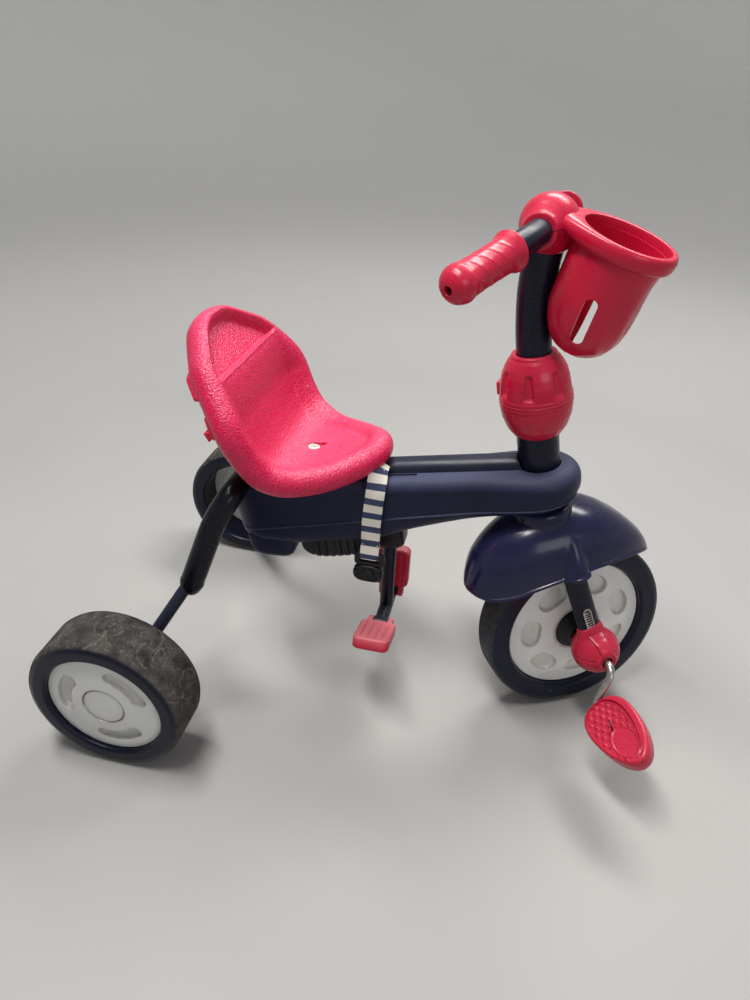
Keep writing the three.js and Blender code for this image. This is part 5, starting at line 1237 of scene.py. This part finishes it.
def make_pedal(side, matrix):
    half, length = 30.5, PEDAL_LENGTH
    outline = bezier((0, 0), (half * 0.75, 0), (half, length * 0.16), (half, length * 0.36))
    outline += bezier((half, length * 0.36), (half, length * 0.62), (half * 0.62, length), (0, length))
    outline += [np.array([-x, y]) for x, y in reversed(outline)]
    flank = np.array([point for point in outline if point[0] >= 0])
    flank = flank[np.argsort(flank[:, 1])]

    def dots(x, y, share):
        """A sunk face with rows of round studs and an oval ring, inside the pedal's edge."""
        reach = np.interp(y, flank[:, 1], flank[:, 0])
        inside = np.minimum(np.minimum(reach - 3.2 - x, (x + reach - 9.5) * 0.95), 88.5 - y)
        u = (x + (np.floor(y / 7.6) % 2) * 4.3) % 8.6 - 4.3
        v = y % 7.6 - 3.8
        stud = 1.5 * (1 - smooth(np.hypot(u, v), 1.3, 2.7)) * smooth(inside, 1.8, 3.4)
        oval = np.hypot((x - 1) / 14.5, (y - 62) / 20)
        ring = 0.9 * np.exp(-((oval - 1.0) * 16) ** 2) * smooth(inside, 0.6, 2)
        return -4.2 * smooth(inside, -0.8, 0.8) + stud * (oval > 1.1) + ring

    pedal = plate(outline, 21, 3.6, matrix, dots, dots, 84, 240, (0, 44), 55)
    slot = box((2.6, 15, 40), matrix @ moved(3, 36, 0) @ turn(-20, "Z"), 0)
    bore = tube([(0, -6, 0), (0, PEDAL_BORE + 1, 0)], 5.35, matrix, sides=24, ends=0)
    show(cut(pedal, [slot, bore], 50), f"pedal_{side}", red_plastic, f"{side}_pedal")


# ---------------------------------------------------------------- fork and fender

# stations from front to back: x, half width, top, bottom
FENDER = [
    (-104.2, 2.5, -130, -134.5), (-103, 8, -126, -136), (-97, 20, -110, -139), (-84, 34, -88, -140),
    (-62, 45, -69, -137), (-36, 52, -57, -130), (0, 57, -52, -123), (34, 58, -53, -119.5),
    (64, 55, -64, -121), (92, 47, -84, -126), (118, 33, -111, -136), (131, 19, -132, -145),
    (137, 7, -143, -150), (138, 2.2, -145.5, -149),
]
VENT = (10.6, 31, 5.2)  # length, width and corner
VENT_OPENING = (7.6, 28, 3.7)
VENT_HEIGHT = 46  # over the front axle
VENT_BARS = 8
BALL = 29
FORK_KNEE, FORK_FOOT = (13, 44, -116), (29.3, 62, -219.6)


def fender_arc(station, wall):
    """A section across the fender, with its rolled lip and the bulges over the fork's legs."""
    x, half, top, bottom = station
    height = max(top - wall, bottom + 1) - bottom
    lifts = np.array([0, 0.6, 1.2, 1.8, 2.4, 3.0, 3.6, 4.4, 5.4]) * min(height / 12, 1)
    low = np.arcsin((lifts / height) ** (1 / 0.85))
    angles = np.concatenate([low, np.linspace(low[-1], math.pi / 2, 28)[1:]])
    angles = np.concatenate([angles, (math.pi - angles[::-1])[1:]])
    half = max(half - wall, half * 0.4)
    side = softened(np.cos(angles), 0.85)
    z = bottom + height * np.clip(np.sin(angles), 0, 1) ** 0.85
    y = half * side
    if wall == 0:
        outer = np.sign(side) * smooth(np.abs(side), 0.5, 0.8)
        below = np.clip((-z - 74) / 46, 0, 1)
        cone = np.sqrt(np.clip(1 - ((x - 14) / (3 + 12 * below)) ** 2, 0, 1))
        y += outer * 11.5 * cone * below
        y += outer * 2.0 * smooth(half, 10, 30) * (1 - smooth(z - bottom, 2.6, 3.8))
    return np.column_stack([np.full_like(y, x), y, z])


def make_fender():
    rows = []
    for station in along(FENDER, 170):
        outer, inner = fender_arc(station, 0), fender_arc(station, 3)
        lip = np.array([station[0], abs(outer[0][1]) - 1.6, station[3] - 1.0])
        rows.append(np.vstack([outer, lip * (1, -1, 1), inner[::-1], lip]))
    fender = cut(loft(rows, FORK, sharp=60), [plug(18.3, -120, 0, FORK)], 50)
    show(fender, "fender", gloss_navy, "fork")
    collar_line = [
        (14.4, -79), (18, -79), (18, -66), (37, -66), (36, -58), (34.6, -52), (33.2, -48.6),
        (30, -47.3), (14.4, -47.3),
    ]
    show(lathe(collar_line, FORK, segments=96, corner=1.2), "fender_collar", gloss_navy, "fork")


def make_fork():
    steerer = lathe([(0, -79.7), (14, -79.7), (14, 78), (12.6, 79.2), (0, 79.2)], FORK, segments=48)
    show(steerer, "steerer", steel, "fork")
    crown = plate(rounded_box(38, 80, 14), 14, 2.5, FORK @ moved(6, 0, -87), rings=2, count=96)
    show(crown, "fork_crown", navy_paint, "fork")
    for side, sign in SIDES:
        knee, foot = (np.array([x, sign * y, z], float) for x, y, z in (FORK_KNEE, FORK_FOOT))
        leg = tube([(9, sign * 36, -89), knee, foot], (7.5, 14), FORK, 20, 56, 12)
        upward = unit(knee - foot)
        forward = unit(np.array([1.0, 0, 0]) - upward * upward[0])
        louvre = np.eye(4)
        louvre[:3, 0], louvre[:3, 1], louvre[:3, 2] = forward, upward, np.cross(upward, forward) * sign
        share = (VENT_HEIGHT - FORK_DROP - foot[2]) / (knee[2] - foot[2])
        louvre[:3, 3] = lerp(foot, knee, share)
        louvre = FORK @ Matrix(louvre.tolist())
        pocket = plate(rounded_box(*VENT), 8, 0.3, louvre @ moved(0, 0, 8.4), count=64)
        show(cut(leg, [pocket]), f"fork_leg_{side}", navy_paint, "fork")
        rim = plate(rounded_box(*VENT), 2.2, 0.5, louvre @ moved(0, 0, 6.3), count=64)
        opening = rounded_box(*VENT_OPENING)
        cut(rim, [plate(opening, 6, 0.1, louvre @ moved(0, 0, 6.3), count=64)])
        vent = [rim]
        for i in range(VENT_BARS):
            vent.append(box((8.4, 2.9, 0.7), louvre @ moved(0, -11.6 + 3.3 * i, 5.8) @ turn(38, "X"), 0.2))
        show(joined(vent), f"fork_vent_{side}", steel, "fork")
        make_axle_cover(side, sign, upward, foot)
    make_fender()


def make_axle_cover(side, sign, upward, foot):
    """A ball round the axle, with a collar on the fork's leg, a ring round the crank and a hood."""
    centre = FORK @ moved(FORK_OFFSET, sign * 65, -FORK_DROP)
    profile = []
    for angle in np.linspace(-90, 90, 61):
        height = BALL * sind(angle)
        dent = 0.9 if abs(height - 3) < 0.8 else 0
        profile.append((max(BALL * cosd(angle) - dent, 0), height))
    profile[0], profile[-1] = (0, -BALL), (0, BALL)
    ball = lathe(profile, centre, segments=96, corner=0)
    cut(ball, [plug(6.9, -60, 60, centre, "Y", 40)], 50)
    line = [foot + upward * d for d in (7, 17, 19.5, 20.5)]
    collar = tube(line, [(12, 18.5), (9.8, 16.3), (9.2, 15.7), (7.6, 14)], FORK, sides=56, ends=0)
    ring_line = [(7.4, 20), (14.5, 20), (13.6, 26.6), (12.2, 28.4), (9.5, 28.4), (7.4, 26.8)]
    ring = lathe(ring_line, centre @ flipped(sign), "Y", 56, 0.9)
    rows = []
    for share in np.linspace(0, 1, 22):
        angle = lerp(22, 78, share)
        reach, half = BALL + 2.6 * math.sin(math.pi * min(share + 0.3, 1)), lerp(7.6, 10.5, share**2)
        row = []
        for a in circle(28):
            out = (reach + (1.8 if math.sin(a) > 0 else 6) * softened(math.sin(a), 0.9)) * 0.97
            x = half * softened(math.cos(a), 0.9) - 3 * share
            row.append((x, sign * cosd(angle) * out, sind(angle) * out))
        rows.append(row)
    hood = loft(rows, centre, sharp=60)
    show(joined([ball, collar, ring, hood]), f"axle_cover_{side}", red_plastic, "fork")


# ---------------------------------------------------------------- footrest

FOOT_X = 277
FOOT_HEIGHT = 100
FOOT_Y = 36
FOOT_TUBE = 9
FOOT_PIN = 2.9
FOOT_FOLD = {"right": -19, "left": 90}  # how far each pad is folded up at rest
PAD_SIZE = (46, 63, 9)  # width, length and corner
PAD_MIDDLE = 41.8  # from the pin


def make_footrest():
    def bar(points, ends):
        return tube(points, FOOT_TUBE, WORLD, sides=40, ends=ends)

    parts = [bar([(FOOT_X, 0, FOOT_HEIGHT), (FOOT_X, 0, 226)], 1)]
    parts.append(bar([(FOOT_X, -FOOT_Y, FOOT_HEIGHT), (FOOT_X, FOOT_Y, FOOT_HEIGHT)], 0))
    for _, sign in SIDES:
        barrel = bar([(FOOT_X + x, sign * FOOT_Y, FOOT_HEIGHT) for x in (-9, 9)], 0.8)
        hole_line = [(FOOT_X + x, sign * FOOT_Y, FOOT_HEIGHT) for x in (-17, 17)]
        parts.append(cut(barrel, [tube(hole_line, 3.3, WORLD, sides=24, ends=0)]))
    show(joined(parts), "footrest_post", navy_paint)

    top = RAKED.inverted() @ WORLD @ Vector((FOOT_X, 0, 220))
    rows = []
    for height, grow in ((22, 0), (0, 0.4), (-8, 0), (-11, -1.5), (-13.6, -4)):
        ring = rounded_box(38 + 2 * grow, 34 + 2 * grow, 7)
        rows.append([(top[0] + x, y, top[2] + height) for x, y in ring])
    show(loft(rows, RAKED, sharp=50), "footrest_mount", black_plastic)
    for side, sign in SIDES:
        make_foot_pad(side, sign)


def make_foot_pad(side, sign):
    def grooves(x, y, share):
        line = sum(bell_curve(x, place, 0.9) for place in (-13.5, -4.5, 4.5, 13.5))
        return -1.1 * line * smooth(29 - np.abs(y - PAD_MIDDLE), 2, 6) * (share < 0.995)

    folded = turn(FOOT_FOLD[side], "X")
    pivot = WORLD @ moved(FOOT_X, sign * FOOT_Y, FOOT_HEIGHT) @ folded @ flipped(sign)
    outline = rounded_box(*PAD_SIZE) + np.array([0, PAD_MIDDLE])
    pad = [plate(outline, 16, 3.5, pivot, grooves, None, 60, 240, (0, PAD_MIDDLE), 60)]
    pin = [tube([(-16.2, 0, 0), (16.2, 0, 0)], FOOT_PIN, pivot, sides=28, ends=0)]
    for end in (-1, 1):
        pad.append(tube([(end * 9.4, 0, 0), (end * 16.3, 0, 0)], 8, pivot, sides=36))
        pad.append(box((6.9, 16, 15), pivot @ moved(end * 12.85, 8, 0), 1))
        pin.append(tube([(end * 16.2, 0, 0), (end * 17.2, 0, 0)], 4.2, pivot, sides=28, ends=0.5))
    show(joined(pad), f"foot_pad_{side}", worn_red, f"{side}_foot_pad")
    show(joined(pin), f"foot_pin_{side}", steel, f"{side}_foot_pad")


# ---------------------------------------------------------------- strap and buckle

STRAP_X = 260
STRAP_WIDTH = 23
STRAP_HALF_THICKNESS = 0.8
STITCHES = 9
STITCH_PITCH = 2.4
STITCH_LENGTH = 1.4
STITCH_Y, STITCH_HEIGHT = -46.1, 228.4
# from under the seat's edge, down, round the buckle's loop and back up, as (y, z)
STRAP_LINE = [
    (-17, 331.5), (-25, 331), (-32.5, 327), (-38.6, 318.5), (-43.2, 308), (-44.6, 296), (-44.3, 270),
    (-44.2, 245), (-44.6, 232), (-46.6, 222), (-47.9, 216), (-47.9, 211.8), (-46.4, 209.3), (-43.9, 208.6),
    (-41.4, 209.4), (-40.2, 212), (-40.2, 217), (-41.2, 223), (-42.4, 231),
]


def make_strap():
    line = along([(y, z, 0) for y, z in STRAP_LINE], 190)
    runs = lengths_along(line)
    shares = np.linspace(-0.5, 0.5, 19)
    rows, values = [], {}
    for i, ((y, z, _), run) in enumerate(zip(line, runs)):
        direction = unit(line[min(i + 1, len(line) - 1)] - line[max(i - 1, 0)])
        out = np.array([0, direction[1], -direction[0]])
        twist = math.radians(4 * math.sin(run / 26) * smooth(run, 0, 20) * (1 - smooth(run, 60, 85)))
        twist -= math.radians(32) * (1 - smooth(run, 14, 44))
        lean = 4 * (1 - smooth(run, 20, 95))
        ring = []
        for face in (1, -1):
            for share in shares * face:
                width = share * STRAP_WIDTH
                lift = STRAP_HALF_THICKNESS * face * (1 - 0.35 * abs(2 * share) ** 6)
                lift += width * math.sin(twist)
                lift += 0.25 * math.sin(run / 9 + 1.3) * math.cos(share * math.pi)
                point = np.array([STRAP_X + lean + width * math.cos(twist), y, z]) + out * lift
                ring.append(point)
                values[tuple(np.round(point, 2))] = (run * MM, width * MM)
        rows.append(ring)
    strap = loft(rows, WORLD, sharp=70)
    # the values are found again by place, because closing the mesh can reorder its points
    found = np.array([values.get(tuple(np.round(p, 2)), (0, 0)) for p in local_points(strap, WORLD)])
    mark(strap, "run", found[:, 0])
    mark(strap, "across", found[:, 1])
    show(strap, "strap", webbing)
    thread = []
    for x in STRAP_X - 9.6 + STITCH_PITCH * np.arange(STITCHES):
        ends = [(x, STITCH_Y, STITCH_HEIGHT), (x + STITCH_LENGTH, STITCH_Y, STITCH_HEIGHT)]
        thread.append(tube(ends, 0.35, WORLD, sides=8, ends=0.2))
    show(joined(thread), None, webbing, name="strap_stitching")
    return strap, float(runs[-1])


def make_buckle():
    upright = turn(90, "X")
    loop = WORLD @ moved(STRAP_X, -44, 207.7) @ upright
    ring = plate(rounded_box(38, 18, 5), 5, 1.2, loop, rings=2, count=96)
    cut(ring, [plate(rounded_box(25.5, 7.4, 2), 20, 0.2, loop, count=64)], 50)
    show(bevelled(ring, 0.6, 2, 50), "buckle_loop", black_plastic)

    body = WORLD @ moved(STRAP_X - 1, -44, 186.4) @ upright

    def face(x, y, share):
        dish = -0.8 * (1 - smooth(np.hypot(x / 12.5, y / 10.5), 0.9, 1.05))
        return (dish + 0.9 * smooth(np.abs(x), 12.5, 14)) * (share < 0.99)

    outline = []
    for a in circle(96):
        power = 0.75 if math.sin(a) > 0 else 0.9
        outline.append((19 * softened(math.cos(a), 0.6), 12 * softened(math.sin(a), power)))
    shell = plate(outline, 9, 2.2, body, face, None, 24, 144, sharp=50)
    for end in (-1, 1):
        cut(shell, [box((3, 2.2, 20), body @ moved(end * 15.2, 5.5, 0), 0)], 50)
    cut(shell, [tube([(0, 0, 0.6), (0, 0, 9)], 8.4, body, sides=48, ends=0)], 50)
    show(shell, "buckle_body", black_plastic)
    button_line = [(0, 2.2), (7.9, 2.2), (8.0, 4.6), (7.2, 5.45), (5.4, 5.2), (0, 4.7)]
    show(lathe(button_line, body, segments=56, corner=0.6), "buckle_button", black_plastic, "button")


# ---------------------------------------------------------------- coupling, column and handlebar

CUP_BASE = 45.3
BELL_BASE = 85.6
BELL_TOP = 136.6
FLUTES = 7
LATCH_HEIGHT = 95.6
COLUMN_LINE = [(0, 0, 93.8), (0, 0, 136.6), (1, 0, 164.6), (5, 0, 200.6), (14, 0, 237), (18, 0, 247.5)]
HUB_X, HUB_HEIGHT, HUB_RADIUS = 21, 263, 29
BAR_RADIUS = 12.5
BAR_BEND = 50  # from the bar's middle to its bends
BAR_SWEEP, BAR_FALL = 0.3243, 0.1351  # back and down for each step out past a bend
GRIP_LENGTH = 86
GRIP_END = 161


def make_coupling():
    cup_line = [
        (14.4, CUP_BASE), (25.6, CUP_BASE), (27.2, 46.6), (33.2, 55.6), (37.6, 68.5), (39.0, 78),
        (39.1, 80.2), (38.7, 80.7), (38.7, 81.4), (39.5, 82), (39.5, 85.2), (14.4, 85.2),
    ]
    show(lathe(cup_line, FORK, segments=120, corner=0.7), "coupling_cup", red_plastic, "fork")

    def flutes(radii, heights, angles):
        pitch = 2 * math.pi / FLUTES
        swing = (angles - math.radians(20) + pitch / 2) % pitch - pitch / 2
        rise = heights - BELL_BASE
        tip = lerp(6.8, 5.2, smooth(rise, 10, 32)) - np.hypot(swing * 35, np.clip(rise - 32, 0, None))
        inside = np.minimum(tip, np.clip(rise - 8.5, None, 6))
        return radii - (radii > 20) * 3.6 * smooth(inside, -0.3, 3.8), heights

    bell_line = [
        (0, BELL_BASE), (39.5, BELL_BASE), (39.5, 87.6), (38.8, 88.2), (38.8, 89.0), (39.2, 89.6),
        (39.2, 91.8), (38.6, 92.4), (38.0, 100), (37.1, 107), (34.9, 116), (31.6, 123.8), (27.6, 130.6),
        (24.5, 134.2), (24.5, 135.2), (23.4, BELL_TOP), (18.8, BELL_TOP), (18.8, 133), (0, 133),
    ]
    bell = lathe(bell_line, BAR, "Z", 252, 0.5, flutes, 50, 1.2)
    cut(bell, [box((13.4, 15.1, 16.1), BAR @ moved(-35.4, 0, LATCH_HEIGHT), 0)], 45)
    show(bell, "coupling_bell", red_plastic, "handlebar")
    latch = [box((7.9, 13.9, 14.9), BAR @ moved(-38, 0, LATCH_HEIGHT), 1.4)]
    for i in range(4):
        latch.append(box((1.4, 10.5, 1.2), BAR @ moved(-41.6, 0, 92 + 2.6 * i), 0.4))
    show(joined(latch), "coupling_latch", red_plastic, "latch")
    column = tube(along(COLUMN_LINE, 60), 18.5, BAR, sides=64, ends=0.6)
    show(column, "column_tube", navy_paint, "handlebar")


def bar_point(y):
    out = max(abs(y) - BAR_BEND, 0)
    return np.array([HUB_X - out * BAR_SWEEP, y, HUB_HEIGHT - out * BAR_FALL])


def make_grip(side, sign):
    outer, inner = bar_point(sign * GRIP_END), bar_point(sign * 60)
    direction = Vector(outer - inner).normalized()
    tilt = Vector((0, 0, 1)).rotation_difference(direction).to_matrix().to_4x4()
    matrix = BAR @ Matrix.Translation(Vector(outer) - direction * GRIP_LENGTH) @ tilt

    def ridges(radii, heights, angles):
        turns = (heights / 13.5 + sign * angles / (2 * math.pi) * 4) % 1
        amount = smooth(heights, 11, 16) * (1 - smooth(heights, 62, 70)) * (radii > 14.5)
        return radii + amount * (0.55 * turns**4 * (1 - smooth(turns, 0.86, 1.0)) - 0.15), heights

    line = [
        (13.1, 0), (18.6, 0), (19.4, 1.0), (19.2, 3.2), (18.0, 6), (16.6, 10), (16.1, 14), (15.8, 30),
        (15.7, 50), (16.5, 64), (17.6, 70), (17.5, 73), (16.4, 77), (14.2, 80.8), (10.8, 83.9), (7.2, 85.6),
        (4.6, 86), (4, 85.4), (4, 80), (13.1, 79),
    ]
    show(lathe(line, matrix, "Z", 128, 0.8, ridges, 60, 0.7), f"grip_{side}", red_plastic, "handlebar")


def make_hub_cover(name, flip):
    half = BAR @ moved(HUB_X, 0, HUB_HEIGHT) @ turn(flip, "X")
    profile = [(0, 0.35), (28.5, 0.35), (HUB_RADIUS, 0.9)]
    profile += [(HUB_RADIUS * cosd(a), HUB_RADIUS * sind(a)) for a in range(4, 90, 2)] + [(0, HUB_RADIUS)]
    parts = [lathe(profile, half, segments=96, corner=0)]
    neck = (
        (14, 25.2), (18, 22.8), (22, 20.4), (25, 18.6), (28, 17.6), (30, 17.2), (31, 16.4), (31.3, 14.8),
    )
    arc = [(math.cos(a), math.sin(a)) for a in np.linspace(0, math.pi, 33)]
    for _, sign in SIDES:
        rows = [[(r * x, sign * out, max(r * z, 0.35)) for x, z in arc] for out, r in neck]
        parts.append(loft(rows, half, sharp=50))
    show(joined(parts), name, red_plastic, "handlebar")


def make_handlebar():
    line = [bar_point(y) for y in (-151, -BAR_BEND, BAR_BEND, 151)]
    show(tube(line, BAR_RADIUS, BAR, 18, 56, 14, 0.6), "handlebar_tube", navy_paint, "handlebar")
    for side, sign in SIDES:
        make_grip(side, sign)
    make_hub_cover("hub_cover_top", 0)
    make_hub_cover("hub_cover_bottom", 180)


# ---------------------------------------------------------------- basket

BASKET_TILT = 27.3
# stations from the rim down: x, z, half length, half width, tilt
CUP_RINGS = [
    (89, 242, 45.5, 36, 27.3), (74, 214, 43, 37, 20), (60, 184, 43, 37, 12), (55, 158, 36, 33, 5),
    (56, 144, 26, 24, 0), (56, 137, 16, 15, 0),
]
SLOT_TOP, SLOT_FOOT = np.array([71, 0, 202.0]), np.array([51, 0, 158.0])
SLOT_WIDTH, SLOT_CORNER = 13, 6.4


def cup_ring(station, inset=0, facets=0):
    x, z, half_length, half_width, tilt = station
    ring = []
    for angle in circle(96):
        wave = 1 + facets * (abs(((angle / (2 * math.pi) * 12) % 1) - 0.5) * 2 - 0.5)
        run = (half_length - inset) * math.cos(angle) * wave
        side = (half_width - inset) * math.sin(angle) * wave
        ring.append((x + run * cosd(tilt), side, z - run * sind(tilt)))
    return ring


def cup_floor(station, shares):
    """Rings that shrink to the middle of the cup's floor."""
    return [cup_ring(station * (1, 1, s, s, 1)) for s in shares]


def make_cup():
    stations = along(CUP_RINGS, 60)
    outer = [cup_ring(s, 0, 0.03 * smooth(i / 59, 0.15, 0.5)) for i, s in enumerate(stations)]
    rows = cup_floor(stations[-1] * (1, 1, 1, 1, 0), (0.03, 0.5, 0.9)) + outer[::-1]
    rows += [cup_ring(s, 3) for s in stations[:-4]]
    rows += cup_floor(stations[-5] + (0, 0.6, 0, 0, 0), (0.8, 0.5, 0.03))
    return loft(rows, BAR, sharp=40)


def make_rim():
    """The cup's broad rim: round in front, square towards the column, with a rolled edge."""
    length, half, back = 50.5, 41, 64.5
    front = np.linspace(-math.pi / 2, math.pi / 2, 60)
    outline = [np.array([length * math.cos(a), half * math.sin(a)]) for a in front]
    outline += bezier((0, half), (-length * 0.6, half), (-back, 20), (-back, 12))
    outline += [np.array([-back, -12.0])]
    outline += bezier((-back, -12), (-back, -20), (-length * 0.6, -half), (0, -half))[1:]
    outline = resampled(outline, 720)
    bearing = np.arctan2(outline[:, 1], outline[:, 0])
    order = np.argsort(bearing)
    far = np.hypot(outline[:, 0], outline[:, 1])[order]
    rows = []
    for angle in circle(180) - math.pi:
        toward = np.array([math.cos(angle), math.sin(angle)])
        near = 1 / math.hypot(toward[0] / 42.5, toward[1] / 33)
        width = float(np.interp(angle, bearing[order], far, period=2 * math.pi)) - near
        section = [(2.0, -13.0), (0.2, 2.4), (0.8, 3.6)]
        for t in np.linspace(90, -90, 21):
            section.append((2.4 + (width - 2.4) * max(cosd(t), 0) ** 0.62, -4.5 + 8.5 * sind(t)))
        rows.append([(*(toward * (near + a)), b) for a, b in section])
    return loft(rows, BAR @ moved(92, 0, 246) @ turn(BASKET_TILT, "Y"), True, 45)


def make_basket():
    span = SLOT_TOP - SLOT_FOOT
    upright = turn(math.degrees(math.atan2(span[0], span[2])), "Y") @ turn(90, "X")
    middle = (SLOT_TOP + SLOT_FOOT) / 2
    cutters = []
    for place, length, depth in ((middle, np.linalg.norm(span), 140), ((55, 36, 168), 84, 60)):
        outline = rounded_box(SLOT_WIDTH, length, SLOT_CORNER)
        cutters.append(plate(outline, depth, 0.1, BAR @ moved(*place) @ upright, count=96))
    cutters.append(tube(along(COLUMN_LINE, 60), 20, BAR, sides=48, ends=0))
    cup = cut(make_cup(), cutters, 45)
    show(joined([cup, make_rim()]), "basket", red_plastic, "handlebar")


make_seat()
make_frame()
for side, sign in SIDES:
    make_rear_wheel(side, sign)
make_front_wheel()
make_fork()
make_footrest()
strap, strap_length = make_strap()
make_buckle()
make_coupling()
make_handlebar()
make_basket()
